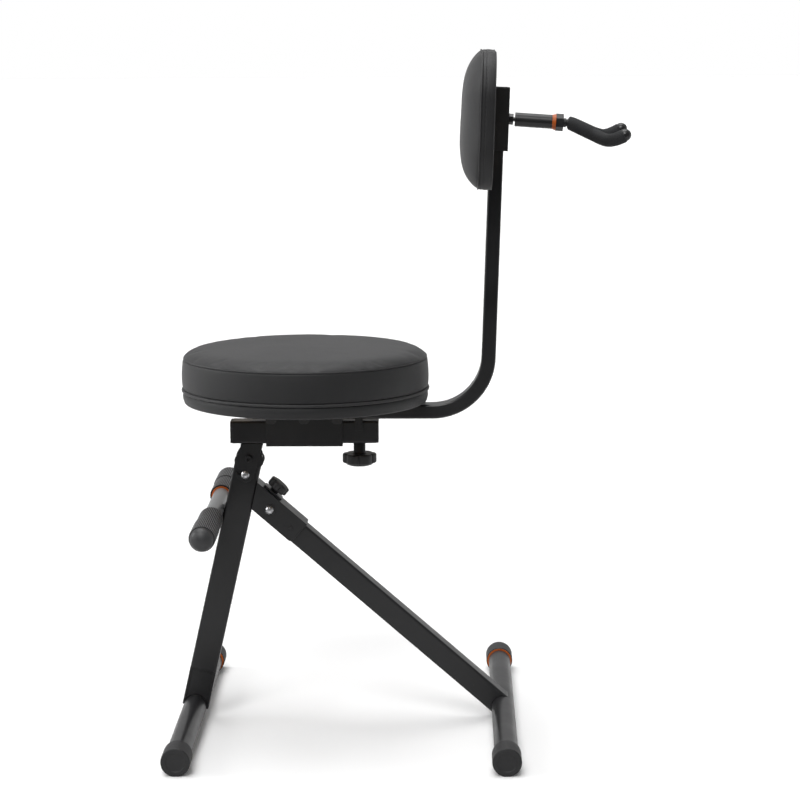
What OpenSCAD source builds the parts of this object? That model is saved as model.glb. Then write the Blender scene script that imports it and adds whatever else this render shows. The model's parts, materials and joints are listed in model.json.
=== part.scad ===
// Guitar stool: a folding A-frame with a round padded seat, a sliding padded
// backrest with an instrument hanger behind it, and a footrest that slides on
// the front leg. Millimetres. +X points to the stool's rear, +Z up, and the
// origin is on the floor under the middle of the whole stool.

/* [Seat] */
// Diameter of the seat over its lower welt
seat_d = 350; // [300:5:400]
// Height of the upholstered side from the welt to the top seam
seat_side_h = 45; // [30:1:60]
// Rise of the top panel's rolled edge above its seam
seat_roll = 11; // [5:1:16]
// Rise of the top panel's crown above its rolled edge
seat_crown = 4; // [2:1:16]
// Height of the lower band from the underside to the welt
skirt_h = 19.2; // [12:0.2:26]
// Thickness of the plywood seat board
seat_board_t = 12; // [9:1:16]
// Diameter of the seat board
seat_board_d = 326; // [280:2:330]
// Diameter of the lower welt cord
seat_welt_d = 4.4; // [3:0.2:6]
// Diameter of the piping along the top seam
seat_piping_d = 2.8; // [2:0.2:4]

/* [Front leg] */
// Length of the front leg from the foot bar's axis to the head pivot
leg_len = 375; // [300:1:420]
// Lean of the front leg away from upright, in degrees
leg_lean = 12.9; // [8:0.1:16]
// Width of the front leg's tube, seen from the side
leg_w = 38; // [34:1:44]
// Thickness of the front leg's tube across the stool
leg_t = 20; // [18:1:26]
// Wall of the front leg's tube
leg_wall = 1.5; // [1.2:0.1:2.5]
// Length of the foot bracket between the leg's end and the foot bar's axis
foot_bracket_len = 56; // [44:1:70]

/* [Feet] */
// Length of each foot bar over its rubber caps
bar_len = 576; // [440:4:640]
// Diameter of the foot bars' tube
bar_d = 33; // [28:1:38]
// Diameter of the rubber foot caps
cap_d = 40; // [39:1:48]
// Length of a rubber foot cap
cap_len = 41; // [30:1:55]
// Depth of the flat that is worn on each cap's sole
sole_depth = 0.6; // [0.4:0.1:1]

/* [Head and rail] */
// Distance of the head pivot ahead of the seat's axis
pivot_setback = 81.5; // [70:0.5:90]
// Height of the rail's underside above the head pivot
rail_rise = 22; // [22:0.5:30]
// Length of the rail
rail_len = 205; // [190:1:230]
// Width and height of the rail's square tube
rail_w = 32; // [28:1:34]
// Wall of the rail's tube
rail_wall = 2; // [1.5:0.1:3]
// Distance of the rail's front end ahead of the seat's axis
rail_front = 104.5; // [100:0.5:110]
// Reach of the friction plates from the head pivot
plate_reach = 21.5; // [20.5:0.5:21.5]
// Distance of the stop bolt below the head pivot, along the leg
stop_drop = 23.9; // [20:0.1:28]

/* [Rear leg] */
// Slope of the rear leg below the horizontal, in degrees
splay = 41.2; // [38:0.2:46]
// Distance of the folding pivot below the head pivot, along the front leg
fold_drop = 65.3; // [60:0.5:80]
// Distance of the folding pivot behind the front leg's axis
fold_offset = 44.6; // [44:0.2:50]
// Width and height of the rear leg's square tube
rear_w = 32; // [26:1:32]
// Wall of the rear leg's tube
rear_wall = 1.5; // [1.2:0.1:2.5]
// Length of the rear bracket below the folding pivot
bracket_len = 54.3; // [48:0.5:70]
// Diameter of the lock knob
lock_knob_d = 32; // [24:1:34]

/* [Footrest] */
// Length of the footrest over its domed ends
rest_len = 472; // [360:4:500]
// Diameter of the footrest's bare tube
rest_tube_d = 24; // [20:1:26]
// Diameter of the rubber grips
grip_d = 36.5; // [30:0.5:38]
// Length of one rubber grip
grip_len = 140; // [90:5:150]
// Distance of the footrest below the head pivot, along the leg
rest_drop = 82; // [80:1:100]
// Travel of the footrest down the leg
rest_down = 120; // [60:5:140]
// Travel of the footrest up the leg
rest_up = 15; // [5:1:18]
// Lengthwise ribs on a grip
grip_ribs = 44; // [24:2:60]

/* [Backrest] */
// Height of the backrest's tube section, seen from the side
post_h = 20; // [18:1:24]
// Wall of the backrest's tube
post_wall = 1.5; // [1.2:0.1:2.5]
// Radius of the tube's bend on its centre line
bend_r = 80; // [60:1:90]
// Reach of the bend's centre behind the seat's axis
bend_reach = 180.5; // [180:0.5:220]
// Backward lean of the upright, in degrees
back_lean = 2.1; // [0:0.1:8]
// Length of the upright above its bend
post_len = 380; // [340:2:440]
// Height of the backrest pad
pad_h = 189; // [170:1:230]
// Width of the backrest pad
pad_w = 290; // [240:2:340]
// Corner radius of the backrest pad
pad_r = 62; // [50:1:80]
// Width of the pad's boxing band
pad_band = 19; // [16:1:26]
// Height of the pad's crowned front above its seam
pad_crown = 26; // [16:1:32]
// Height of the pad's middle on the upright
pad_rise = 336.5; // [310:0.5:360]
// Travel of the backrest to the rear
slide_back = 60; // [30:1:65]

/* [Hanger] */
// Diameter of the hanger's barrel
barrel_d = 19.6; // [15:0.1:20]
// Length of the hanger's barrel
barrel_len = 52; // [40:1:70]
// Droop of the hanger below the horizontal, in degrees
hanger_droop = 4.1; // [2:0.1:6]
// Length of the padded yoke along the hanger's axis
yoke_len = 79; // [70:1:100]
// Distance from the hanger's axis to the middle of an arm
yoke_half = 45; // [38:1:55]
// Depth of the dip in the yoke's arms
yoke_dip = 17; // [12:1:22]
// Diameter of the foam on the yoke's arms
foam_d = 18.5; // [14:0.5:20]
// Turn of the yoke about the hanger's axis at rest, in degrees
yoke_turn = 2.6; // [0:0.1:10]

/* [Hidden] */
$fn = 48;

// Clearances: parts fixed together, turning pins, and sliding or soft parts
fix_gap = 0.05;
run_gap = 0.06;
slide_gap = 0.3;
soft_gap = 0.3;
// One overrun serves every cut
over = 5;

// Feet: the bars' axis height and the rings in the caps' open ends
foot_z = cap_d / 2 - sole_depth;
bar_wall = 1.5;
cap_end_t = 3;
cap_chamfer = 1.3;
ring_t = 3;
ring_stand = 0.6;
ring_lip = 1.2;

// Head: ears, friction plates, bolts
ear_t = 2.5;
friction_t = 2;
friction_end_r = 11;
friction_drop = 3.5;
ear_lower_r = 13.2;
ear_front = 11.2;
ear_rear = 20.3;
ear_skew = 2.2;
head_bolt_d = 8;
head_bolt_head_d = 10.5;
head_bolt_head_t = 5;
head_socket_d = 5;
head_socket_depth = 3;
stop_bolt_d = 6;
stop_head_d = 11.6;
stop_head_t = 4.2;
nut_af = 13;
nut_t = 6.5;
nut_r = nut_af / 2 / cos(30);

// Seat underside, from the rail upwards
glide_t = 2.9;
glide_play = 0.1;
plate_play = 2.4;
plate_t = 3;
plate_len = 150;
plate_w = 96;
plate_corner_r = 12;
saddle_t = 3.5;
saddle_len = 109;
saddle_front = 56.3;
lug_len = 15;
lug_t = 2;
lug_drop = 28.5;
lug_r = 5;
screw_d = 5;
screw_head_d = 9;
screw_head_t = 2.4;
screw_len = 13;
seam_inset = 4.5;
skirt_inset = 3.6;
bulge = 1.2;
edge_r = 3;
crown_steps = 10;
roll_power = 20;
strap_w = 10;
strap_t = 2.5;
strap_drop = 13;
clamp_x_offset = 76;

// Clamp knob under the rail
knob_d = 48.5;
knob_t = 14;
knob_dome = 4.5;
knob_lobes = 6;
knob_neck_d = 17;
knob_neck_len = 16;
knob_gap = 0.5;
clamp_screw_d = 8;

// Rear bracket and its lock knob
bracket_t = 2.5;
bracket_skirt = 0.2;
bracket_corner_r = 6;
rivet_d = 5;
rivet_reach = 39.4;
rivet_stand = 0.8;
fold_bolt_d = 8;
fold_head_d = 11.5;
fold_head_t = 4.5;
fold_washer_d = 16.4;
fold_washer_t = 1.4;
bush_wall = 1.5;
lock_offset = 11.7;
lock_screw_d = 6;
lock_base_len = 32;
lock_base_w = 24;
lock_base_t = 3.2;
lock_neck_d = 13;
lock_neck_len = 3.6;
lock_knob_t = 12.5;
lock_lobes = 7;

// Footrest fittings
rest_stand = 12.4;
rest_wall = 1.5;
dome_len = 14;
grip_ring_t = 3;
grip_ring_d = 29;
rib_h = 0.7;
grip_step = 1.1;
rest_bolt_d = 8;
rest_bolt_head_d = 13;
rest_bolt_head_t = 5;
rest_nut_w = 15.8;
rest_nut_t = 7;
rest_nut_len = 28;
rest_saddle_w = 40;
rest_saddle_up = 5.5;
rest_saddle_down = 20;
leg_corner_r = 3;

// Foot bracket below the front leg
rim_t = 3;
rim_depth = 3;
tongue_len = 22;
tube_r = 3;

// Backrest fittings
tail_left = 15;
post_tail = slide_back + tail_left;
board_t = 10;
board_inset = 13;
rim_stand = 4;
web_t = 3;
web_out = 16;
back_bracket_len = 88;
back_foot_w = 16;
back_foot_t = 2.5;
back_screw_pitch = 62;
back_screw_len = 8;
back_piping_d = 3;
pad_ring_steps = 8;
pad_corner_steps = 7;
pad_rim_r = 4;
pad_puff = 0.6;
pad_lap = 2;
pad_round = 70;
pad_round_share = 0.98;
pad_power = 3;
plug_t = 3;
plug_depth = 14;
plug_lip = 0.4;

// Hanger fittings, along its axis from the bracket's web
stud_d = 6;
jam_t = 6.4;
jam_af = 13.4;
jam_r = jam_af / 2 / cos(30);
jam_seat = jam_r * tan(abs(hanger_droop - back_lean)) + fix_gap;
thread_gap = 2.4;
hanger_ring_len = 5.2;
hanger_ring_d = 23;
collar_len = 10.4;
collar_d = 24;
neck_len = 6;
neck_d = 12.5;
pivot_pin_d = 7;
pivot_pin_len = 19;
yoke_rod_d = 8;
tip_d = 17.5;
foam_start_share = 0.07;
foam_end_share = 0.97;
yoke_samples = 26;
near_share = 0.005;
ball_steps = 11;
ball_open = 8;
// Route of one arm: shares of the yoke's length, half width and dip
yoke_shares = [
    [0, 0, 0], [0.05, 0.02, 0.02], [0.13, 0.11, 0.14], [0.29, 0.2, 0.43], [0.47, 0.29, 0.75],
    [0.63, 0.6, 0.98], [0.72, 0.8, 1], [0.82, 0.94, 0.87], [0.92, 1, 0.65], [1, 1, 0.41]
];

// Places measured from the seat's axis, before the origin is set
pivot_rel = -pivot_setback;
front_foot_rel = pivot_rel - leg_len * sin(leg_lean);
pivot_z = foot_z + leg_len * cos(leg_lean);
fold_rel = pivot_rel - fold_drop * sin(leg_lean) + fold_offset * cos(leg_lean);
fold_z = pivot_z - fold_drop * cos(leg_lean) - fold_offset * sin(leg_lean);
rear_len = (fold_z - foot_z) / sin(splay);
rear_foot_rel = fold_rel + rear_len * cos(splay);
rail_z = pivot_z + rail_rise;
post_low_z = rail_z + rail_w + glide_t + glide_play;
plate_z = post_low_z + post_h + plate_play;
seat_z = plate_z + plate_t;
post_y = rail_w - 2 * slide_gap;
bend_z = post_low_z + post_h / 2 + bend_r;
post_rel = bend_reach + bend_r * cos(back_lean);
post_z = bend_z - bend_r * sin(back_lean);
hanger_rel = post_rel + web_out * cos(back_lean) + pad_rise * sin(back_lean);
hanger_z = post_z + pad_rise * cos(back_lean) - web_out * sin(back_lean);
ring_at = jam_t + thread_gap + barrel_len;
collar_at = ring_at + hanger_ring_len;
neck_at = collar_at + collar_len;
yoke_at = neck_at + neck_len;
arm_low = yoke_dip * yoke_shares[len(yoke_shares) - 1][2];
tip_up = yoke_half * sin(yoke_turn) - arm_low * cos(yoke_turn);
tip_rel = hanger_rel + (yoke_at + yoke_len) * cos(hanger_droop) + tip_up * sin(hanger_droop);

// The origin is under the middle of the whole stool
front_rel = min(front_foot_rel - cap_d / 2, -seat_d / 2);
rear_rel = max(tip_rel + tip_d / 2, rear_foot_rel + cap_d / 2);
seat_x = -(front_rel + rear_rel) / 2;
pivot_x = seat_x + pivot_rel;
front_foot_x = seat_x + front_foot_rel;
rear_foot_x = seat_x + rear_foot_rel;
fold_x = seat_x + fold_rel;
post_x = seat_x + post_rel;
clamp_x = seat_x + clamp_x_offset;

// Frames: the front leg, the rear leg, the upright and the hanger
module in_leg() {
    translate([pivot_x, 0, pivot_z]) rotate([0, leg_lean, 0]) children();
}

module in_fold() {
    translate([fold_x, 0, fold_z]) rotate([0, splay, 0]) children();
}

module in_post() {
    translate([post_x, 0, post_z]) rotate([0, back_lean, 0]) children();
}

module in_hanger() {
    translate([seat_x + hanger_rel, 0, hanger_z]) rotate([0, hanger_droop, 0]) children();
}

module in_rest() {
    in_leg() translate([-leg_w / 2 - rest_stand, 0, -rest_drop]) children();
}

module on_both_sides() {
    children();
    mirror([0, 1, 0]) children();
}

// A round bar along Y between two places
module bar_y(d, from, to) {
    translate([0, from, 0]) rotate([-90, 0, 0]) cylinder(d = d, h = to - from);
}

// A round bar along X between two places
module bar_x(d, from, to) {
    translate([from, 0, 0]) rotate([0, 90, 0]) cylinder(d = d, h = to - from);
}

// A six-sided nut along Y between two places
module nut_y(r, from, to) {
    translate([0, from, 0]) rotate([-90, 0, 0]) cylinder(r = r, h = to - from, $fn = 6);
}

// A plate drawn in X and Z, from one Y to another
module plate_y(from, to) {
    translate([0, to, 0]) rotate([90, 0, 0]) linear_extrude(to - from) children();
}

// A rectangle with round corners, and the section of a tube
module rounded(w, h, r) {
    square([w - 2 * r, h], center = true);
    square([w, h - 2 * r], center = true);
    for (x = [-1, 1], y = [-1, 1]) {
        translate([x * (w / 2 - r), y * (h / 2 - r)]) circle(r = r);
    }
}

module tube_section(w, h, r, wall) {
    difference() {
        rounded(w, h, r);
        rounded(w - 2 * wall, h - 2 * wall, r - wall);
    }
}

// Where the line from a point touches a circle; side is 1 or -1
function touch(p, c, r, side) =
    let (
        d = norm(c - p),
        base = atan2(p[1] - c[1], p[0] - c[0]),
        spread = acos(r / d)
    )
    c + r * [cos(base + side * spread), sin(base + side * spread)];

// A lobed outline: a circle whose radius swells with the cosine of its lobes
function lobed(r, depth, lobes, steps) = [
    for (i = [0 : steps - 1])
        let (a = 360 * i / steps)
        (r - depth + depth * pow(abs(cos(lobes * a / 2)), 0.6)) * [cos(a), sin(a)]
];

// Front leg

module leg_outline(r, low) {
    translate([-r, low]) square([2 * r, -low]);
    circle(r = r);
}

module leg_bores(d_head, d_stop) {
    bar_y(d_head, -leg_t - over, leg_t + over);
    translate([0, 0, -stop_drop]) bar_y(d_stop, -leg_t - over, leg_t + over);
}

leg_low = -leg_len + foot_bracket_len;

module front_leg() {
    color("#17181a") in_leg() difference() {
        intersection() {
            translate([0, 0, leg_low]) linear_extrude(leg_w / 2 - leg_low)
                tube_section(leg_w, leg_t, leg_corner_r, leg_wall);
            plate_y(-leg_t, leg_t) leg_outline(leg_w / 2, leg_low);
        }
        leg_bores(head_bolt_d + 2 * fix_gap, stop_bolt_d + 2 * fix_gap);
        rest_slot();
    }
}

// The slot in the front wall that the footrest's bolt slides in
slot_top = -rest_drop + rest_up + rest_bolt_d / 2 + slide_gap;
slot_low = -rest_drop - rest_down - rest_bolt_d / 2 - slide_gap;

module rest_slot() {
    translate([-leg_w / 2 - over, -rest_bolt_d / 2 - slide_gap, slot_low])
        cube([leg_wall + over + slide_gap, rest_bolt_d + 2 * slide_gap, slot_top - slot_low]);
}

// Level friction plates with round ends, on both sides of the leg's head
module head_plates() {
    apart = sqrt(pow(plate_reach - friction_end_r, 2) - pow(friction_drop, 2));
    color("#1d1e20") translate([pivot_x, 0, pivot_z]) on_both_sides() difference() {
        plate_y(leg_t / 2, leg_t / 2 + friction_t) translate([0, -friction_drop]) {
            square([2 * apart, 2 * friction_end_r], center = true);
            for (side = [-apart, apart]) translate([side, 0]) circle(r = friction_end_r);
        }
        bar_y(head_bolt_d + 2 * fix_gap, 0, leg_t);
    }
}

ear_in = leg_t / 2 + friction_t + slide_gap;
ear_out = ear_in + ear_t;

module head_bolt() {
    face = -ear_out - slide_gap;
    color("#1d1e20") in_leg() difference() {
        union() {
            bar_y(head_bolt_d, face, ear_out + slide_gap + nut_t + ear_t);
            bar_y(head_bolt_head_d, face - head_bolt_head_t, face);
        }
        translate([0, face - head_bolt_head_t - over, 0]) rotate([-90, 0, 0])
            cylinder(d = head_socket_d, h = head_socket_depth + over, $fn = 6);
    }
}

module head_nut() {
    color("#a9acb0") in_leg() difference() {
        nut_y(nut_r, ear_out + slide_gap, ear_out + slide_gap + nut_t);
        bar_y(head_bolt_d + 2 * fix_gap, 0, ear_out + nut_t + over);
    }
}

module stop_bolt() {
    face = -ear_out - slide_gap;
    color("#c9cbce") in_leg() translate([0, 0, -stop_drop]) {
        bar_y(stop_bolt_d, face, ear_out + slide_gap + nut_t + ear_t);
        translate([0, face, 0]) rotate([90, 0, 0]) rotate_extrude() polygon([
            [0, 0], [stop_head_d / 2, 0], [stop_head_d / 2, stop_head_t / 3],
            [stop_head_d / 3, stop_head_t * 0.85], [0, stop_head_t]
        ]);
    }
}

module stop_nut() {
    scale_share = stop_bolt_d / head_bolt_d;
    color("#a9acb0") in_leg() translate([0, 0, -stop_drop]) difference() {
        nut_y(nut_r * scale_share, ear_out + slide_gap, ear_out + slide_gap + nut_t * scale_share);
        bar_y(stop_bolt_d + 2 * fix_gap, 0, ear_out + nut_t + over);
    }
}

// Foot bracket: two rims joined by a thinner web, coped onto the foot bar
module foot_bracket() {
    rim_x = leg_w / 2 - fix_gap - rim_t;
    web_y = leg_t - 2 * rim_depth;
    tongue_w = leg_w - 2 * leg_wall - 2 * fix_gap;
    tongue_y = leg_t - 2 * leg_wall - 2 * fix_gap;
    color("#141516") in_leg() difference() {
        union() {
            for (x = [-rim_x - rim_t, rim_x]) {
                translate([x, -leg_t / 2, -leg_len]) cube([rim_t, leg_t, foot_bracket_len]);
            }
            translate([-rim_x - fix_gap, -web_y / 2, -leg_len])
                cube([2 * rim_x + 2 * fix_gap, web_y, foot_bracket_len]);
            translate([0, 0, leg_low - rim_t]) linear_extrude(tongue_len + rim_t)
                rounded(tongue_w, tongue_y, leg_corner_r - leg_wall);
        }
        translate([0, 0, -leg_len]) bar_y(bar_d + 2 * fix_gap, -leg_t, leg_t);
    }
}

// Foot bars: a tube, two rubber caps and the rings set in the caps' open ends
module foot_tube() {
    half = bar_len / 2 - cap_end_t;
    translate([0, half, 0]) rotate([90, 0, 0]) linear_extrude(2 * half) difference() {
        circle(d = bar_d);
        circle(d = bar_d - 2 * bar_wall);
    }
}

module foot_cap() {
    r = cap_d / 2;
    bore_r = bar_d / 2 + fix_gap;
    lip_r = r - ring_lip;
    seat = ring_t - ring_stand;
    difference() {
        translate([0, -bar_len / 2, 0]) rotate([-90, 0, 0]) rotate_extrude() polygon([
            [0, 0], [r - cap_chamfer, 0], [r - cap_chamfer / 4, cap_chamfer / 4], [r, cap_chamfer],
            [r, cap_len], [lip_r, cap_len], [lip_r, cap_len - seat],
            [bore_r, cap_len - seat], [bore_r, cap_end_t], [0, cap_end_t]
        ]);
        translate([-r, -bar_len / 2 - over, -foot_z - over])
            cube([2 * r, cap_len + 2 * over, over]);
    }
}

module foot_ring() {
    seat = ring_t - ring_stand;
    from = -bar_len / 2 + cap_len - seat;
    difference() {
        bar_y(cap_d - 2 * ring_lip - 2 * fix_gap, from, from + ring_t);
        bar_y(bar_d + 2 * fix_gap, from - over, from + ring_t + over);
    }
}

module front_foot_tube() {
    color("#1a1b1d") translate([front_foot_x, 0, foot_z]) foot_tube();
}

module front_foot_caps() {
    color("#222325") translate([front_foot_x, 0, foot_z]) on_both_sides() foot_cap();
}

module front_foot_rings() {
    color("#e06a35") translate([front_foot_x, 0, foot_z]) on_both_sides() foot_ring();
}

// Rear bracket: a channel open below, its front end closed on the leg's rear face
bracket_in = rear_w / 2 + slide_gap;
bracket_out = bracket_in + bracket_t;
knob_x = -lock_offset;

module behind_leg(from) {
    in_leg() translate([leg_w / 2 + from, -leg_len, -leg_len])
        cube([leg_len, 2 * leg_len, 2 * leg_len]);
}

module bracket_side() {
    low = -rear_w / 2 - bracket_skirt;
    reach = 2 * fold_offset;
    translate([-reach, low + bracket_corner_r])
        square([reach + bracket_len, bracket_out - low - bracket_corner_r]);
    translate([-reach, low]) square([reach + bracket_len - bracket_corner_r, bracket_corner_r]);
    translate([bracket_len - bracket_corner_r, low + bracket_corner_r])
        circle(r = bracket_corner_r);
}

module bracket_block(y) {
    in_fold() plate_y(-y, y) bracket_side();
}

module rear_bracket() {
    color("#141516") difference() {
        intersection() {
            bracket_block(bracket_out);
            behind_leg(0);
        }
        intersection() {
            in_fold() translate([-2 * fold_offset, -bracket_in, -leg_w])
                cube([2 * fold_offset + bracket_len + over, 2 * bracket_in, leg_w + bracket_in]);
            behind_leg(bracket_t);
        }
        in_fold() bar_y(fold_bolt_d + 2 * fix_gap, -leg_w, leg_w);
        in_fold() translate([rivet_reach, 0, 0]) bar_y(rivet_d, -leg_w, leg_w);
        in_fold() translate([knob_x, 0, 0])
            cylinder(d = lock_screw_d + 2 * run_gap, h = bracket_out + over);
    }
}

module fold_bolt() {
    face = -bracket_out - fold_washer_t;
    color("#c9cbce") in_fold() {
        bar_y(fold_bolt_d, face, bracket_out + fold_washer_t + nut_t + bracket_t);
        translate([0, face, 0]) rotate([90, 0, 0]) rotate_extrude() polygon([
            [0, 0], [fold_head_d / 2, 0], [fold_head_d / 2, fold_head_t / 3],
            [fold_head_d / 3, fold_head_t * 0.85], [0, fold_head_t]
        ]);
    }
}

module fold_washers() {
    color("#b9bcc0") in_fold() on_both_sides() difference() {
        bar_y(fold_washer_d, bracket_out, bracket_out + fold_washer_t);
        bar_y(fold_bolt_d + 2 * fix_gap, 0, bracket_out + over);
    }
}

module fold_nut() {
    from = bracket_out + fold_washer_t;
    color("#a9acb0") in_fold() difference() {
        nut_y(nut_r, from, from + nut_t);
        bar_y(fold_bolt_d + 2 * fix_gap, 0, from + nut_t + over);
    }
}

module stop_rivets() {
    color("#2a2b2d") in_fold() translate([rivet_reach, 0, 0]) on_both_sides() {
        bar_y(rivet_d, bracket_in, bracket_out);
        bar_y(rivet_d + 2 * rivet_stand, bracket_out, bracket_out + rivet_stand);
    }
}

module lock_base() {
    color("#17181a") in_fold() translate([knob_x, 0, bracket_out]) difference() {
        linear_extrude(lock_base_t) rounded(lock_base_len, lock_base_w, lock_base_w / 4);
        translate([0, 0, -over])
            cylinder(d = lock_screw_d + 2 * run_gap, h = lock_base_t + 2 * over);
    }
}

// Rear leg: its upper end is round about the folding pivot
module rear_leg() {
    r = rear_w / 2;
    color("#17181a") in_fold() difference() {
        intersection() {
            translate([-r, 0, 0]) rotate([0, 90, 0]) linear_extrude(rear_len + r)
                tube_section(rear_w, rear_w, tube_r, rear_wall);
            plate_y(-r, r) union() {
                translate([0, -r]) square([rear_len, rear_w]);
                circle(r = r);
            }
        }
        bar_y(fold_bolt_d + 2 * run_gap + 2 * bush_wall + 2 * fix_gap, -rear_w, rear_w);
        translate([rear_len, 0, 0]) bar_y(bar_d + 2 * fix_gap, -rear_w, rear_w);
    }
}

module rear_leg_bush() {
    half = rear_w / 2;
    color("#a9acb0") in_fold() difference() {
        bar_y(fold_bolt_d + 2 * run_gap + 2 * bush_wall, -half, half);
        bar_y(fold_bolt_d + 2 * run_gap, -half - over, half + over);
    }
}

module rear_foot_tube() {
    color("#1a1b1d") translate([rear_foot_x, 0, foot_z]) foot_tube();
}

module rear_foot_caps() {
    color("#222325") translate([rear_foot_x, 0, foot_z]) on_both_sides() foot_cap();
}

module rear_foot_rings() {
    color("#e06a35") translate([rear_foot_x, 0, foot_z]) on_both_sides() foot_ring();
}

// Lock knob: its screw stops just short of the rear leg's round end
lock_tip = sqrt(pow(rear_w / 2, 2) - pow(lock_offset - lock_screw_d / 2, 2)) + slide_gap;
lock_neck_z = bracket_out + lock_base_t + slide_gap;
lock_knob_z = lock_neck_z + lock_neck_len;

module lock_knob() {
    color("#2b2c2e") in_fold() translate([knob_x, 0, 0]) difference() {
        union() {
            translate([0, 0, lock_neck_z]) cylinder(d = lock_neck_d, h = lock_neck_len);
            translate([0, 0, lock_knob_z]) linear_extrude(lock_knob_t)
                polygon(lobed(lock_knob_d / 2, lock_knob_d / 14, lock_lobes, 70));
        }
        cylinder(d = lock_screw_d + 2 * fix_gap, h = lock_knob_z + lock_knob_t / 2);
    }
}

module lock_screw() {
    color("#b9bcc0") in_fold() translate([knob_x, 0, lock_tip])
        cylinder(d = lock_screw_d, h = lock_knob_z + lock_knob_t / 2 - fix_gap - lock_tip);
}

// Footrest
rest_half = rest_len / 2;
grip_to = rest_half - dome_len;
grip_from = grip_to - grip_len;
ring_seat = grip_ring_t - ring_stand;

module rest_bolt_bore(d) {
    bar_x(d, 0, rest_stand + leg_w / 2);
}

module footrest_tube() {
    color("#8f9295") in_rest() difference() {
        translate([0, grip_to, 0]) rotate([90, 0, 0]) linear_extrude(2 * grip_to) difference() {
            circle(d = rest_tube_d);
            circle(d = rest_tube_d - 2 * rest_wall);
        }
        rest_bolt_bore(rest_bolt_d + 2 * fix_gap);
        bar_x(rest_bolt_head_d + 2 * slide_gap, -rest_tube_d, 0);
    }
}

// A ribbed sleeve: its radius ripples by the rib height round the grip
function ribbed(r, ribs) = [
    for (i = [0 : 4 * ribs - 1])
        (r - rib_h / 2 + rib_h / 2 * cos(90 * i)) * [cos(90 * i / ribs), sin(90 * i / ribs)]
];

module grip() {
    step_at = grip_len / 2;
    translate([0, grip_to, 0]) rotate([90, 0, 0]) difference() {
        union() {
            linear_extrude(step_at) polygon(ribbed(grip_d / 2, grip_ribs));
            translate([0, 0, step_at]) linear_extrude(grip_len - step_at)
                polygon(ribbed(grip_d / 2 - grip_step, grip_ribs));
        }
        translate([0, 0, -over]) cylinder(d = rest_tube_d + 2 * fix_gap, h = grip_len + 2 * over);
        translate([0, 0, grip_len - ring_seat])
            cylinder(d = grip_ring_d + 2 * fix_gap, h = ring_seat + over);
    }
}

module footrest_grips() {
    color("#242526") in_rest() on_both_sides() grip();
}

module footrest_end_caps() {
    r = grip_d / 2 - rib_h;
    color("#242526") in_rest() on_both_sides() translate([0, grip_to, 0]) rotate([-90, 0, 0])
        rotate_extrude() polygon(concat(
            [[0, 0], [r, 0]],
            [for (i = [1 : 7]) [r * cos(90 * i / 8), dome_len * sin(90 * i / 8)]],
            [[0, dome_len]]
        ));
}

module footrest_rings() {
    color("#e06a35") in_rest() on_both_sides() difference() {
        bar_y(grip_ring_d, grip_from + ring_seat - grip_ring_t, grip_from + ring_seat);
        bar_y(rest_tube_d + 2 * fix_gap, grip_from - grip_ring_t, grip_from + grip_ring_t);
    }
}

module footrest_saddle() {
    deep = rest_stand - slide_gap;
    color("#1d1e20") in_rest() difference() {
        translate([0, -rest_saddle_w / 2, -rest_saddle_down])
            cube([deep, rest_saddle_w, rest_saddle_up + rest_saddle_down]);
        bar_y(rest_tube_d + 2 * fix_gap, -rest_saddle_w, rest_saddle_w);
        rest_bolt_bore(rest_bolt_d + 2 * fix_gap);
    }
}

rest_nut_x = rest_stand + leg_wall + slide_gap;

// The bolt's head seats inside the tube, which is open for it in front
module footrest_bolt() {
    inner_r = rest_tube_d / 2 - rest_wall;
    head_at = sqrt(pow(inner_r, 2) - pow(rest_bolt_head_d / 2, 2)) - fix_gap;
    color("#1d1e20") in_rest() difference() {
        union() {
            bar_x(rest_bolt_d, head_at - rest_bolt_head_t, rest_nut_x + rest_nut_t);
            bar_x(rest_bolt_head_d, head_at - rest_bolt_head_t, head_at);
        }
        translate([head_at - rest_bolt_head_t - over, 0, 0]) rotate([0, 90, 0])
            cylinder(d = head_socket_d, h = head_socket_depth + over, $fn = 6);
    }
}

module footrest_nut() {
    color("#a9acb0") in_rest() difference() {
        translate([rest_nut_x, -rest_nut_w / 2, -rest_nut_len / 2])
            cube([rest_nut_t, rest_nut_w, rest_nut_len]);
        rest_bolt_bore(rest_bolt_d + 2 * fix_gap);
    }
}

// Head bracket: two ears welded under the rail that turn on the head bolt, each
// with a notch that comes down on the stop bolt
stop_at = [-stop_drop * sin(leg_lean), -stop_drop * cos(leg_lean)];
ear_top = [[-ear_front, rail_rise], [ear_rear, rail_rise]];

module ear_outline() {
    c = stop_at + [0, ear_skew];
    r = ear_lower_r - fix_gap;
    polygon([
        ear_top[0], touch(ear_top[0], c, r, 1), c, touch(ear_top[1], c, r, -1), ear_top[1]
    ]);
    translate(c) circle(r = ear_lower_r);
}

// The notch follows an arc about the head pivot and opens to the front
module notch_outline() {
    half = stop_bolt_d / 2 + slide_gap;
    intersection() {
        difference() {
            circle(r = stop_drop + half);
            circle(r = stop_drop - half);
        }
        rotate(-90 - leg_lean) translate([0, -2 * stop_drop]) square([2 * stop_drop, 2 * stop_drop]);
    }
    translate(stop_at) circle(d = stop_bolt_d + 2 * run_gap);
}

module head_bracket() {
    color("#141516") translate([pivot_x, 0, pivot_z]) difference() {
        on_both_sides() plate_y(ear_in, ear_out) ear_outline();
        bar_y(head_bolt_d + 2 * run_gap, -leg_w, leg_w);
        plate_y(-leg_w, leg_w) notch_outline();
    }
}

// Rail, its plugs and the channel that carries the seat
module along_rail(from, to) {
    translate([from, 0, 0]) rotate([90, 0, 90]) linear_extrude(to - from) children();
}

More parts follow.
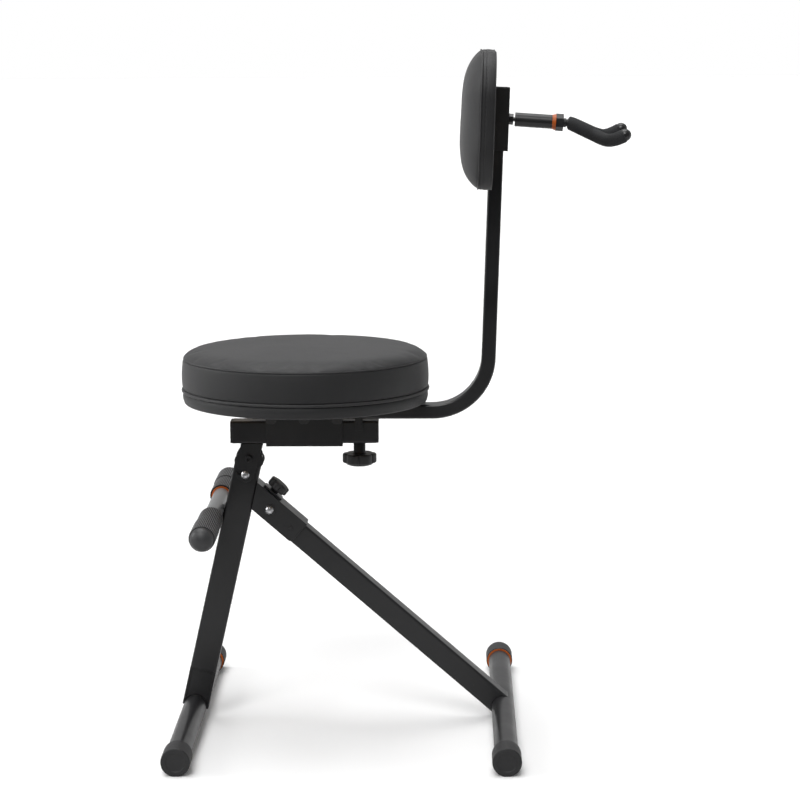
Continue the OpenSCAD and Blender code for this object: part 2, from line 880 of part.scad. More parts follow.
module rail() {
    from = seat_x - rail_front;
    color("#141516") difference() {
        translate([0, 0, rail_z + rail_w / 2]) along_rail(from, from + rail_len)
            tube_section(rail_w, rail_w, tube_r, rail_wall);
        translate([clamp_x, 0, rail_z - over])
            cylinder(d = clamp_screw_d + 2 * run_gap, h = rail_w + 2 * over);
    }
}

module plug(w, h, wall, r) {
    translate([-plug_depth, 0, 0]) along_rail(0, plug_depth)
        rounded(w - 2 * wall - 2 * fix_gap, h - 2 * wall - 2 * fix_gap, r - wall);
    along_rail(0, plug_t) rounded(w - 2 * plug_lip, h - 2 * plug_lip, r);
}

module rail_plugs() {
    from = seat_x - rail_front;
    color("#202123") translate([0, 0, rail_z + rail_w / 2]) {
        translate([from + rail_len, 0, 0]) plug(rail_w, rail_w, rail_wall, tube_r);
        translate([from, 0, 0]) mirror([1, 0, 0]) plug(rail_w, rail_w, rail_wall, tube_r);
    }
}

saddle_out = rail_w / 2 + saddle_t;

module seat_saddle() {
    color("#141516") translate([seat_x - saddle_front, 0, 0]) {
        translate([0, -saddle_out, rail_z - saddle_t]) cube([saddle_len, 2 * saddle_out, saddle_t]);
        on_both_sides() translate([0, rail_w / 2, rail_z - saddle_t])
            cube([saddle_len, saddle_t, plate_z - rail_z + saddle_t]);
    }
}

module glide_pad() {
    color("#3a3b3d") translate([seat_x - saddle_front, -post_y / 2, rail_z + rail_w])
        cube([saddle_len, post_y, glide_t]);
}

// Clamp strap: a bridge over the backrest's tube, fixed to the rail's sides
module clamp_strap() {
    low = rail_z + rail_w - strap_drop;
    top = post_low_z + post_h + slide_gap;
    color("#141516") translate([clamp_x - strap_w / 2, 0, 0]) {
        on_both_sides() translate([0, rail_w / 2, low]) cube([strap_w, strap_t, top - low]);
        translate([0, -rail_w / 2 - strap_t, top]) cube([strap_w, rail_w + 2 * strap_t, strap_t / 2]);
    }
}

// Seat plate with its lugs folded down outside the channel
module seat_plate() {
    lug_low = plate_z - lug_drop;
    color("#2c2d2f") difference() {
        union() {
            translate([seat_x, 0, plate_z]) linear_extrude(plate_t)
                rounded(plate_len, plate_w, plate_corner_r);
            for (i = [0 : 2]) {
                translate([seat_x - saddle_front + i * (saddle_len - lug_len) / 2, 0, 0])
                    on_both_sides() seat_lug(lug_low);
            }
        }
        for (x = [-1, 1], y = [-1, 1]) seat_screw_place(x, y)
            translate([0, 0, -over]) cylinder(d = screw_d + 2 * fix_gap, h = 2 * over + plate_t);
    }
}

module seat_lug(low) {
    translate([lug_len / 2, 0, 0]) plate_y(saddle_out, saddle_out + lug_t) union() {
        translate([-lug_len / 2, low + lug_r]) square([lug_len, plate_z - low - lug_r + fix_gap]);
        translate([-lug_len / 2 + lug_r, low]) square([lug_len - 2 * lug_r, lug_r]);
        for (x = [-1, 1]) translate([x * (lug_len / 2 - lug_r), low + lug_r]) circle(r = lug_r);
    }
}

module seat_screw_place(x, y) {
    translate([
        seat_x + x * (plate_len / 2 - plate_corner_r),
        y * (plate_w / 2 - plate_corner_r),
        plate_z
    ]) children();
}

module seat_screws() {
    color("#6f7275") for (x = [-1, 1], y = [-1, 1]) seat_screw_place(x, y) {
        cylinder(d = screw_d, h = screw_len);
        translate([0, 0, -screw_head_t]) cylinder(d = screw_head_d, h = screw_head_t);
    }
}

module seat_board() {
    color("#8a7355") difference() {
        translate([seat_x, 0, seat_z]) cylinder(d = seat_board_d, h = seat_board_t);
        for (x = [-1, 1], y = [-1, 1]) seat_screw_place(x, y)
            cylinder(d = screw_d + 2 * fix_gap, h = screw_len + fix_gap);
    }
}

// Seat cushion: one turned form with a drawn-in band, a welt groove, a side
// that bulges a little, a seam groove and a crowned top
seat_r = seat_d / 2;
welt_z = skirt_h;
seam_z = skirt_h + seat_side_h;
seam_r = seat_r - seam_inset;
welt_groove = seat_welt_d + 2 * soft_gap;
seam_groove = seat_piping_d + 2 * soft_gap;

crown_z = seam_z + seam_groove / 2;

function crown_rise(share) =
    (seat_roll - seam_groove / 2) * (1 - pow(share, roll_power)) + seat_crown * (1 - share * share);

cushion_profile = concat(
    [
        [0, 0], [seat_r - skirt_inset - edge_r, 0],
        [seat_r - skirt_inset - edge_r / 3, edge_r / 3], [seat_r - skirt_inset, edge_r],
        [seat_r - 1.4 * bulge, welt_z - welt_groove / 2],
        [seat_r - seat_welt_d - soft_gap, welt_z - welt_groove / 2],
        [seat_r - seat_welt_d - soft_gap, welt_z + welt_groove / 2],
        [seat_r - 1.6 * bulge, welt_z + welt_groove / 2],
        [seat_r - bulge, welt_z + seat_side_h / 4],
        [seat_r - bulge, welt_z + seat_side_h * 0.6],
        [seat_r - 2 * bulge, welt_z + seat_side_h * 0.82],
        [seam_r, seam_z - seam_groove / 2],
        [seam_r - seat_piping_d - soft_gap, seam_z - seam_groove / 2],
        [seam_r - seat_piping_d - soft_gap, seam_z + seam_groove / 2]
    ],
    [
        for (i = [1 : crown_steps - 1])
            let (share = 1 - pow(i / crown_steps, 2))
            [(seam_r - seat_piping_d) * share, crown_z + crown_rise(share)]
    ],
    [[0, seam_z + seat_roll + seat_crown]]
);

module seat_cushion() {
    color("#242527") translate([seat_x, 0, seat_z]) difference() {
        rotate_extrude($fn = 96) polygon(cushion_profile);
        translate([0, 0, -over])
            cylinder(d = seat_board_d + 2 * fix_gap, h = seat_board_t + soft_gap + over);
    }
}

module cord_ring(r, z, d) {
    translate([seat_x, 0, seat_z + z]) rotate_extrude($fn = 96)
        translate([r - d / 2, 0]) circle(d = d, $fn = 16);
}

module seat_welt() {
    color("#1f2022") cord_ring(seat_r, welt_z, seat_welt_d);
}

module seat_piping() {
    color("#1f2022") cord_ring(seam_r, seam_z, seat_piping_d);
}

// Clamp knob under the rail
module clamp_knob() {
    top = rail_z - knob_gap;
    head = top - knob_neck_len;
    color("#2b2c2e") translate([clamp_x, 0, 0]) difference() {
        union() {
            translate([0, 0, head]) cylinder(d = knob_neck_d, h = knob_neck_len);
            translate([0, 0, head - knob_t]) linear_extrude(knob_t)
                polygon(lobed(knob_d / 2, knob_d / 14, knob_lobes, 72));
            translate([0, 0, head - knob_t]) mirror([0, 0, 1]) rotate_extrude() polygon([
                [0, 0], [knob_d * 0.42, 0], [knob_d * 0.36, knob_dome / 2],
                [knob_d / 4, knob_dome * 0.85], [0, knob_dome]
            ]);
        }
        translate([0, 0, head - knob_t / 2])
            cylinder(d = clamp_screw_d + 2 * fix_gap, h = knob_neck_len + knob_t);
    }
}

module clamp_screw() {
    low = rail_z - knob_gap - knob_neck_len - knob_t / 2 + fix_gap;
    color("#b9bcc0") translate([clamp_x, 0, low])
        cylinder(d = clamp_screw_d, h = post_low_z - slide_gap - low);
}

// Backrest: a tube bent once, flat under the seat and upright behind it. The
// upright's wall is drawn a hair thinner, so that it seats inside the bend's end
module back_post() {
    flat_len = post_tail + bend_reach;
    color("#17181a") translate([seat_x + bend_reach, 0, bend_z]) {
        translate([0, 0, -bend_r]) along_rail(-flat_len, 0)
            tube_section(post_y, post_h, tube_r, post_wall);
        rotate([90, 0, 0]) rotate([0, 0, -90]) rotate_extrude(angle = 90 - back_lean, $fn = 96)
            translate([bend_r, 0]) tube_section(post_h, post_y, tube_r, post_wall);
        rotate([0, back_lean, 0]) translate([bend_r, 0, -slide_gap])
            linear_extrude(post_len + slide_gap)
                tube_section(post_h - 2 * fix_gap, post_y - 2 * fix_gap, tube_r, post_wall - 2 * fix_gap);
    }
}

module back_post_plug() {
    color("#202123") translate([seat_x - post_tail, 0, post_low_z + post_h / 2])
        mirror([1, 0, 0]) plug(post_y, post_h, post_wall, tube_r);
}

// Back bracket: a channel round the upright's top, with feet on the pad's board
board_back = -post_h / 2 - fix_gap;

module back_bracket() {
    inner = post_y / 2 + slide_gap;
    outer = inner + web_t;
    color("#141516") difference() {
        in_post() translate([0, 0, pad_rise - back_bracket_len / 2]) {
            translate([web_out - web_t, -outer, 0]) cube([web_t, 2 * outer, back_bracket_len]);
            on_both_sides() {
                translate([board_back, inner, 0])
                    cube([web_out - board_back, web_t, back_bracket_len]);
                translate([board_back, inner, 0])
                    cube([back_foot_t, web_t + back_foot_w, back_bracket_len]);
            }
        }
        in_post() translate([0, 0, pad_rise - back_bracket_len / 2]) back_screw_places()
            rotate([0, 90, 0]) cylinder(d = screw_d + 2 * fix_gap, h = 2 * over, center = true);
        in_hanger() bar_x(stud_d + 2 * fix_gap, -2 * over, over);
    }
}

module back_screw_places() {
    y = post_y / 2 + slide_gap + web_t + back_foot_w / 2;
    for (z = [-1, 1], side = [-1, 1]) {
        translate([board_back, side * y, back_bracket_len / 2 + z * back_screw_pitch / 2]) children();
    }
}

module back_screws() {
    color("#6f7275") in_post() translate([0, 0, pad_rise - back_bracket_len / 2])
        back_screw_places() {
            rotate([0, -90, 0]) cylinder(d = screw_d, h = back_screw_len);
            rotate([0, 90, 0]) cylinder(d = screw_d, h = back_foot_t);
            translate([back_foot_t, 0, 0]) rotate([0, 90, 0])
                cylinder(d = screw_head_d, h = screw_head_t);
        }
}

module pad_plane() {
    in_post() translate([0, 0, pad_rise]) rotate([0, -90, 0]) children();
}

module back_board() {
    color("#8a7355") difference() {
        pad_plane() translate([0, 0, -board_back]) linear_extrude(board_t)
            rounded(pad_h - 2 * board_inset, pad_w - 2 * board_inset, pad_r - board_inset);
        in_post() translate([0, 0, pad_rise - back_bracket_len / 2]) back_screw_places()
            rotate([0, -90, 0]) translate([0, 0, -over])
                cylinder(d = screw_d + 2 * fix_gap, h = back_screw_len + fix_gap + over);
    }
}

// Points of a rounded rectangle drawn in by an inset
function pad_outline(inset) = [
    for (corner = [0 : 3], i = [0 : pad_corner_steps])
        let (
            a = 90 * corner + 90 * i / pad_corner_steps,
            sx = corner == 0 || corner == 3 ? 1 : -1,
            sy = corner < 2 ? 1 : -1,
            r = max(pad_r - inset, pad_r / 20),
            hx = max(pad_h / 2 - inset - r, 0),
            hy = max(pad_w / 2 - inset - r, 0)
        )
        [sx * hx + r * cos(a), sy * hy + r * sin(a)]
];

// Rings of the pad from its rear rim to its crown: an inset and a height each.
// The band is sewn along its middle, so it puffs out on both sides of the stitch
pad_back = post_h / 2 - rim_stand;
pad_seam = pad_back + pad_band;
pad_groove = back_piping_d + 2 * soft_gap;
groove_in = back_piping_d + soft_gap;
crown_from = pad_seam + pad_groove / 2 + soft_gap;
crown_h = pad_crown + pad_seam - crown_from;
pad_rings = concat(
    [
        [pad_rim_r, pad_back],
        [pad_rim_r * (1 - sin(45)), pad_back + pad_rim_r * (1 - cos(45))],
        [0, pad_back + pad_rim_r],
        [-pad_puff, pad_back + pad_band * 0.4],
        [pad_puff, pad_back + pad_band * 0.5],
        [-pad_puff, pad_back + pad_band * 0.6],
        [pad_puff, pad_seam - back_piping_d],
        [pad_puff, pad_seam - pad_groove / 2],
        [groove_in, pad_seam - pad_groove / 2],
        [groove_in, pad_seam + pad_groove / 2],
        [pad_lap, crown_from]
    ],
    [
        for (i = [1 : pad_ring_steps])
            let (d = pad_round * pad_round_share * pow(i / pad_ring_steps, 1.4))
            [pad_lap + d, crown_from + crown_h * (1 - pow(1 - d / pad_round, pad_power))]
    ]
);

module pad_form() {
    n = 4 * (pad_corner_steps + 1);
    rows = len(pad_rings);
    points = [for (ring = pad_rings, p = pad_outline(ring[0])) [p[0], p[1], ring[1]]];
    sides = [
        for (k = [0 : rows - 2], i = [0 : n - 1])
            let (j = (i + 1) % n)
            each [[k * n + i, (k + 1) * n + i, (k + 1) * n + j], [k * n + i, (k + 1) * n + j, k * n + j]]
    ];
    polyhedron(points, concat(
        sides,
        [[for (i = [0 : n - 1]) i]],
        [[for (i = [0 : n - 1]) rows * n - 1 - i]]
    ));
}

module back_cushion() {
    depth = board_t + rim_stand + soft_gap;
    notch_w = post_y + 2 * soft_gap;
    color("#242527") difference() {
        pad_plane() pad_form();
        pad_plane() translate([-pad_h, -notch_w / 2, pad_back - over])
            cube([pad_h, notch_w, rim_stand + soft_gap + over]);
        pad_plane() translate([0, 0, pad_back - over]) linear_extrude(over + depth)
            rounded(
                pad_h - 2 * board_inset + 2 * soft_gap,
                pad_w - 2 * board_inset + 2 * soft_gap,
                pad_r - board_inset + soft_gap
            );
    }
}

// Piping in the groove between the band and the crowned front
module back_piping() {
    color("#1f2022") pad_plane() translate([0, 0, pad_seam - back_piping_d / 2])
        linear_extrude(back_piping_d) difference() {
            rounded(pad_h, pad_w, pad_r);
            rounded(pad_h - 2 * back_piping_d, pad_w - 2 * back_piping_d, pad_r - back_piping_d);
        }
}

// Hanger: a stud through the web, a jam nut, a barrel, a ring and a collar
module hanger_stud() {
    color("#8f9295") in_hanger() bar_x(stud_d, -web_t, jam_t + thread_gap + stud_d);
}

module hanger_nut() {
    color("#141516") in_hanger() difference() {
        translate([jam_seat, 0, 0]) rotate([0, 90, 0])
            cylinder(r = jam_r, h = jam_t - jam_seat, $fn = 6);
        bar_x(stud_d + 2 * fix_gap, -over, jam_t + over);
    }
}

module hanger_barrel() {
    from = jam_t + thread_gap;
    color("#17181a") in_hanger() difference() {
        bar_x(barrel_d, from, from + barrel_len);
        bar_x(stud_d + 2 * fix_gap, from - over, from + stud_d + fix_gap);
        bar_x(pivot_pin_d + 2 * run_gap, ring_at - over, ring_at + over);
    }
}

module hanger_ring() {
    color("#e06a35") in_hanger() translate([ring_at, 0, 0]) rotate([0, 90, 0]) difference() {
        cylinder(d1 = barrel_d, d2 = hanger_ring_d, h = hanger_ring_len);
        translate([0, 0, -over])
            cylinder(d = pivot_pin_d + 2 * run_gap, h = hanger_ring_len + 2 * over);
    }
}

module hanger_collar() {
    color("#1d1e20") in_hanger() translate([collar_at, 0, 0]) rotate([0, 90, 0]) difference() {
        cylinder(d = collar_d, h = collar_len, $fn = 6);
        translate([0, 0, -over])
            cylinder(d = pivot_pin_d + 2 * run_gap, h = collar_len + 2 * over);
    }
}

// Yoke: it turns with its neck on a pin inside the collar
function curve_point(points, t) =
    let (
        last = len(points) - 1,
        k = min(floor(t * last), last - 1),
        u = t * last - k,
        a = points[max(k - 1, 0)],
        b = points[k],
        c = points[k + 1],
        d = points[min(k + 2, last)]
    )
    0.5 * (2 * b + (c - a) * u + (2 * a - 5 * b + 4 * c - d) * u * u
        + (3 * b - a - 3 * c + d) * u * u * u);

function arm_point(t) =
    let (p = curve_point(yoke_shares, t))
    [yoke_at + yoke_len * p[0], -yoke_half * p[1], -yoke_dip * p[2]];

// A round skin over a list of centres, with a radius at each
module round_skin(centres, radii, sides) {
    last = len(centres) - 1;
    points = [
        for (k = [0 : last])
            let (
                ahead = centres[min(k + 1, last)] - centres[max(k - 1, 0)],
                along = ahead / norm(ahead),
                side = cross(along, [0, 0, 1]) / norm(cross(along, [0, 0, 1])),
                up = cross(side, along)
            )
            each [for (i = [0 : sides - 1])
                centres[k] + radii[k] * (cos(360 * i / sides) * side + sin(360 * i / sides) * up)]
    ];
    skin = [
        for (k = [0 : last - 1], i = [0 : sides - 1])
            let (j = (i + 1) % sides)
            each [
                [k * sides + i, k * sides + j, (k + 1) * sides + j],
                [k * sides + i, (k + 1) * sides + j, (k + 1) * sides + i]
            ]
    ];
    polyhedron(points, concat(
        skin,
        [[for (i = [0 : sides - 1]) sides - 1 - i]],
        [[for (i = [0 : sides - 1]) last * sides + i]]
    ));
}

// A round tube swept along both arms between two shares of their route
module arms(d, from, to, sides) {
    shares = [for (i = [0 : yoke_samples]) from + (to - from) * i / yoke_samples];
    on_both_sides()
        round_skin([for (t = shares) arm_point(t)], [for (t = shares) d / 2], sides);
}

// A ball of rings, left open by a few degrees at its ends
module tip_ball() {
    angles = [for (i = [0 : ball_steps]) ball_open + (180 - 2 * ball_open) * i / ball_steps];
    round_skin(
        [for (a = angles) arm_point(1) - [tip_d / 2 * cos(a), 0, 0]],
        [for (a = angles) tip_d / 2 * sin(a)],
        18
    );
}

module in_yoke() {
    in_hanger() rotate([yoke_turn, 0, 0]) children();
}

module yoke_neck() {
    color("#2b2c2e") in_yoke() {
        bar_x(pivot_pin_d, neck_at - pivot_pin_len, neck_at + slide_gap);
        bar_x(neck_d, neck_at + slide_gap, yoke_at - neck_len / 3);
        bar_x(neck_d * 0.8, yoke_at - neck_len / 3, yoke_at);
        bar_x(neck_d, yoke_at, yoke_at + neck_len / 3);
    }
}

module yoke_rod() {
    color("#3a3b3d") in_yoke() difference() {
        arms(yoke_rod_d, 0, 1, 10);
        bar_x(neck_d + 2 * fix_gap, yoke_at - over, yoke_at + neck_len / 3 + fix_gap);
    }
}

module yoke_foam() {
    color("#26272a") in_yoke() difference() {
        arms(foam_d, foam_start_share, foam_end_share, 14);
        arms(yoke_rod_d + 2 * fix_gap, 0, 1, 10);
        bar_x(2 * foam_d, yoke_at - over, yoke_at + neck_len / 3 + soft_gap);
    }
}

// A rounded tip closes each arm beyond its foam, and is bored for the rod's end
module yoke_tips() {
    color("#26272a") in_yoke() difference() {
        on_both_sides() tip_ball();
        arms(foam_d + 2 * fix_gap, foam_start_share, foam_end_share + near_share, 14);
        arms(yoke_rod_d + 2 * fix_gap, 0, 1, 10);
    }
}

front_leg();
head_plates();
head_bolt();
head_nut();
stop_bolt();
stop_nut();
foot_bracket();
front_foot_tube();
front_foot_caps();
front_foot_rings();
rear_bracket();
fold_bolt();
fold_nut();
fold_washers();
stop_rivets();
lock_base();
rear_leg();
rear_leg_bush();
rear_foot_tube();
rear_foot_caps();
rear_foot_rings();
lock_knob();
lock_screw();
footrest_tube();
footrest_grips();
footrest_end_caps();
footrest_rings();
footrest_saddle();
footrest_bolt();
footrest_nut();
head_bracket();
rail();
rail_plugs();
seat_saddle();
glide_pad();
clamp_strap();
seat_plate();
seat_board();
seat_screws();
seat_cushion();
seat_piping();
seat_welt();
clamp_knob();
clamp_screw();
back_post();
back_post_plug();
back_bracket();
back_screws();
back_board();
back_cushion();
back_piping();
hanger_stud();
hanger_nut();
hanger_barrel();
hanger_ring();
hanger_collar();
yoke_neck();
yoke_rod();
yoke_foam();
yoke_tips();
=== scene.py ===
"""A folding guitar stool: a round vinyl seat, a padded backrest with an instrument
hanger, an A-frame of painted tube and a footrest with ribbed grips.

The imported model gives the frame, and this script gives every piece its looks.
Lengths are in metres, +X to the stool's rear, +Y across it, +Z up.
"""
import math

import bpy
import numpy as np
from mathutils import Matrix, Vector
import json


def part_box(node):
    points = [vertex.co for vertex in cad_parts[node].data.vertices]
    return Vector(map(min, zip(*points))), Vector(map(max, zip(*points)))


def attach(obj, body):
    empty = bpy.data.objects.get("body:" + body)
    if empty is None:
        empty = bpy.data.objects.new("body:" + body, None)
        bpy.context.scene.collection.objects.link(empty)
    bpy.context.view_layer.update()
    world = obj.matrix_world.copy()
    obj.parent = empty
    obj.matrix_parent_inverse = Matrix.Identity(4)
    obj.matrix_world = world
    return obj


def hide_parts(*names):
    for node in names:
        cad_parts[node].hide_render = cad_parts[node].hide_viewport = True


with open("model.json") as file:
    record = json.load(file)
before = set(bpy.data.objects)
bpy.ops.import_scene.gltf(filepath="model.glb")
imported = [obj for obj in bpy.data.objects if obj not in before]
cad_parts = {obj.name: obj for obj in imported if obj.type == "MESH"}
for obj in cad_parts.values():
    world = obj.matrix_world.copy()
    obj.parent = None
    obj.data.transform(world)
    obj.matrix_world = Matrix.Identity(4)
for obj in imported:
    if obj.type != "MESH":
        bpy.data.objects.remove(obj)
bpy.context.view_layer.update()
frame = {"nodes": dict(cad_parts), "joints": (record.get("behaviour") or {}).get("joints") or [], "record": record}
nodes = frame["nodes"]
joints = {joint["name"]: joint for joint in frame["joints"]}
scene = bpy.context.scene
TURN = 2 * math.pi
MM = 0.001
TINY = 1e-9


# Places, most of them read from the frame

def middle(node):
    low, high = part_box(node)
    return (np.array(low) + np.array(high)) / 2


def axes(along):
    """A right-handed triple of unit vectors (u, v, w): w lies along the given
    direction, and v is +Y made square to it, or +X where w lies along Y."""
    w = np.array(along, float) / np.linalg.norm(along)
    across = np.array([0, 1.0, 0]) if abs(w[1]) < 0.9 else np.array([1.0, 0, 0])
    v = np.array(across, float) - np.dot(across, w) * w
    v /= np.linalg.norm(v)
    return np.cross(v, w), v, w


SEAT_AXIS = middle("seat_board") * (1, 1, 0)
COVER_HANG = 1.0 * MM
SEAT_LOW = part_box("seat_cushion")[0][2] - COVER_HANG
LOCK_UP = np.array(joints["lock_turn"]["axis"])
HANGER = np.array(joints["yoke_swivel"]["pos_m"])
HANGER_OUT = np.array(joints["yoke_swivel"]["axis"])
BACK_LEAN = math.radians(2.1)
POST_UP = np.array([math.sin(BACK_LEAN), 0, math.cos(BACK_LEAN)])
POST_REAR = np.array([math.cos(BACK_LEAN), 0, -math.sin(BACK_LEAN)])


# Surfaces

def added(name, data):
    """A new object in the scene that shows the data."""
    item = bpy.data.objects.new(name, data)
    scene.collection.objects.link(item)
    return item


def skin(name, grid, ends="poles"):
    """A closed surface over a grid of points: each row closes on itself. With ends
    "poles" the first and last rows are single points; with "ring" they meet."""
    rows, cols = grid.shape[:2]
    around = np.arange(cols)
    nxt = (around + 1) % cols
    if ends == "ring":
        points = grid.reshape(-1, 3)
        row = np.arange(rows)[:, None] * cols
        after = (np.arange(rows)[:, None] + 1) % rows * cols
        tris = np.zeros((0, 3), int)
    else:
        points = np.concatenate([grid[1:-1].reshape(-1, 3), grid[0, :1], grid[-1, :1]])
        row = np.arange(rows - 3)[:, None] * cols
        after = row + cols
        first, last, low = len(points) - 2, len(points) - 1, (rows - 3) * cols
        tris = np.concatenate([
            np.stack([np.full(cols, first), nxt, around], 1),
            np.stack([np.full(cols, last), low + around, low + nxt], 1),
        ])
    quads = np.stack([row + around, row + nxt, after + nxt, after + around], -1).reshape(-1, 4)
    return solid(name, points, [quads, tris])


def solid(name, points, faces):
    """A mesh piece from its points and arrays of faces, turned outwards: the sum of
    corner . (next x last) over all faces is positive on a closed outward shell."""
    volume = sum(
        np.einsum("ij,ij->", points[f[:, 0]], np.cross(points[f[:, k]], points[f[:, k + 1]]))
        for f in faces if len(f) for k in range(1, f.shape[1] - 1)
    )
    outward = [f if volume > 0 else f[:, ::-1] for f in faces]
    mesh = bpy.data.meshes.new(name)
    mesh.from_pydata(points.tolist(), [], [face for f in outward for face in f.tolist()])
    mesh.shade_smooth()
    return added(name, mesh)


def joined(name, pieces):
    """One piece from several, in order."""
    points, quads, tris, count = [], [], [], 0
    for piece in pieces:
        mesh = piece.data
        own = np.empty(len(mesh.vertices) * 3)
        mesh.vertices.foreach_get("co", own)
        points.append(own.reshape(-1, 3))
        for face in mesh.polygons:
            (quads if len(face.vertices) == 4 else tris).append([v + count for v in face.vertices])
        count += len(mesh.vertices)
        bpy.data.objects.remove(piece)
    faces = [np.array(f, int).reshape(-1, n) for f, n in ((quads, 4), (tris, 3))]
    return solid(name, np.concatenate(points), faces)


def arc(centre, radius, start, end, steps):
    """Points of a circular arc in a profile's plane, its angles in degrees."""
    angle = np.radians(np.linspace(start, end, steps + 1))
    return [(centre[0] + radius * c, centre[1] + radius * s)
            for c, s in zip(np.cos(angle), np.sin(angle))]


def rounded_corner(profile, reach, steps=3):
    """The profile with each inner corner rounded: points of a quadratic Bezier from
    one side of the corner to the other, which starts and ends at most `reach` away."""
    p = [np.array(point, float) for point in profile]
    out = [p[0]]
    for before, corner, after in zip(p, p[1:], p[2:]):
        ends = []
        for other in (before, after):
            side = other - corner
            length = np.linalg.norm(side)
            ends.append(corner + side * min(reach / length, 0.45))
        for t in np.linspace(0, 1, steps + 1):
            out.append((1 - t) ** 2 * ends[0] + 2 * t * (1 - t) * corner + t * t * ends[1])
    out.append(p[-1])
    return np.array(out)


def turned(name, profile, origin, along, sides=96):
    """A lathe form: profile rows (r, h) become origin + r (cos a u + sin a v) + h w."""
    u, v, w = axes(along)
    profile = np.asarray(profile, float)
    angle = np.linspace(0, TURN, sides, endpoint=False)
    ring = np.cos(angle)[:, None] * u + np.sin(angle)[:, None] * v
    grid = origin + profile[:, 0, None, None] * ring + profile[:, 1, None, None] * w
    return skin(name, grid)


def carried(route, closed=False):
    """Unit side and up vectors along a route, each the last one made square to the
    new direction, so that they don't spin."""
    if closed:
        ahead = np.roll(route, -1, 0) - np.roll(route, 1, 0)
    else:
        ahead = np.gradient(route, axis=0)
    ahead /= np.linalg.norm(ahead, axis=1)[:, None]
    side = np.empty_like(route)
    start = np.cross(ahead[0], (0, 0, 1.0))
    if np.linalg.norm(start) < 0.1:
        start = np.cross(ahead[0], (1.0, 0, 0))
    side[0] = start / np.linalg.norm(start)
    for k in range(1, len(route)):
        flat = side[k - 1] - np.dot(side[k - 1], ahead[k]) * ahead[k]
        side[k] = flat / np.linalg.norm(flat)
    return side, np.cross(side, ahead), ahead


def tube(name, route, radius, sides=16, closed=False):
    """A round tube along a route; radius is one value or one for each point."""
    route = np.asarray(route, float)
    side, up, _ = carried(route, closed)
    radius = np.broadcast_to(radius, len(route))
    angle = np.linspace(0, TURN, sides, endpoint=False)
    ring = side[:, None] * np.cos(angle)[:, None] + up[:, None] * np.sin(angle)[:, None]
    grid = route[:, None] + radius[:, None, None] * ring
    if closed:
        return skin(name, grid, "ring")
    poles = [np.repeat(route[:1, None], sides, 1), np.repeat(route[-1:, None], sides, 1)]
    return skin(name, np.concatenate([poles[0], grid, poles[1]]))


def smooth_route(points, count):
    """Catmull-Rom through the points, `count` samples evenly spread over its spans."""
    p = np.asarray(points, float)
    p = np.concatenate([2 * p[:1] - p[1:2], p, 2 * p[-1:] - p[-2:-1]])
    t = np.linspace(0, len(p) - 3 - TINY, count)
    k = t.astype(int)
    t = (t - k)[:, None]
    a, b, c, d = p[k], p[k + 1], p[k + 2], p[k + 3]
    square = (2 * a - 5 * b + 4 * c - d) * t ** 2
    cube = (3 * b - a - 3 * c + d) * t ** 3
    return 0.5 * (2 * b + (c - a) * t + square + cube)


def waves(angle, seed, lowest, limit, size):
    """A sum of sines of the whole frequencies from `lowest` to below `limit`, weaker as
    they rise, each with its own phase. Its peak is `size` high."""
    chance = np.random.default_rng(seed)
    total = np.zeros_like(angle)
    for k in range(lowest, limit):
        total += chance.normal() / k ** 0.5 * np.sin(k * angle + chance.uniform(0, TURN))
    return size * total / max(np.abs(total).max(), TINY)


# Materials: shared effects as node groups, then one function for each finish

def group(name, inputs, outputs):
    """An empty node group with float sockets: its tree, its input and its output."""
    tree = bpy.data.node_groups.new(name, "ShaderNodeTree")
    for label, default in inputs:
        socket = tree.interface.new_socket(label, in_out="INPUT", socket_type="NodeSocketFloat")
        socket.default_value = default
    for label in outputs:
        tree.interface.new_socket(label, in_out="OUTPUT", socket_type="NodeSocketFloat")
    return tree, tree.nodes.new("NodeGroupInput"), tree.nodes.new("NodeGroupOutput")


def feed(tree, socket, value):
    """Sets a socket to a number, or links it to another node's output."""
    if isinstance(value, (int, float)):
        socket.default_value = value
    else:
        tree.links.new(value, socket)


def calc(tree, kind, first, second):
    """One Math node of two values."""
    node = tree.nodes.new("ShaderNodeMath")
    node.operation = kind
    feed(tree, node.inputs[0], first)
    feed(tree, node.inputs[1], second)
    return node.outputs[0]


def spread(tree, value, low, high, to_low=0.0, to_high=1.0):
    """The range from low to high mapped to another, and cut off at its ends."""
    node = tree.nodes.new("ShaderNodeMapRange")
    node.inputs["From Min"].default_value = low
    node.inputs["From Max"].default_value = high
    node.inputs["To Min"].default_value = to_low
    node.inputs["To Max"].default_value = to_high
    tree.links.new(value, node.inputs["Value"])
    return node.outputs[0]


def stretched(tree, scale):
    """Object coordinates stretched by three scales."""
    place = tree.nodes.new("ShaderNodeTexCoord")
    mapping = tree.nodes.new("ShaderNodeMapping")
    mapping.inputs["Scale"].default_value = scale
    tree.links.new(place.outputs["Object"], mapping.inputs["Vector"])
    return mapping.outputs[0]


def noise(tree, vector, scale, detail=3.0, rough=0.5):
    node = tree.nodes.new("ShaderNodeTexNoise")
    node.inputs["Detail"].default_value = detail
    node.inputs["Roughness"].default_value = rough
    feed(tree, node.inputs["Scale"], scale)
    tree.links.new(vector, node.inputs["Vector"])
    return node.outputs["Fac"]


def cells(tree, vector, scale, feature="DISTANCE_TO_EDGE"):
    node = tree.nodes.new("ShaderNodeTexVoronoi")
    node.feature = feature
    feed(tree, node.inputs["Scale"], scale)
    tree.links.new(vector, node.inputs["Vector"])
    return node.outputs["Distance"]


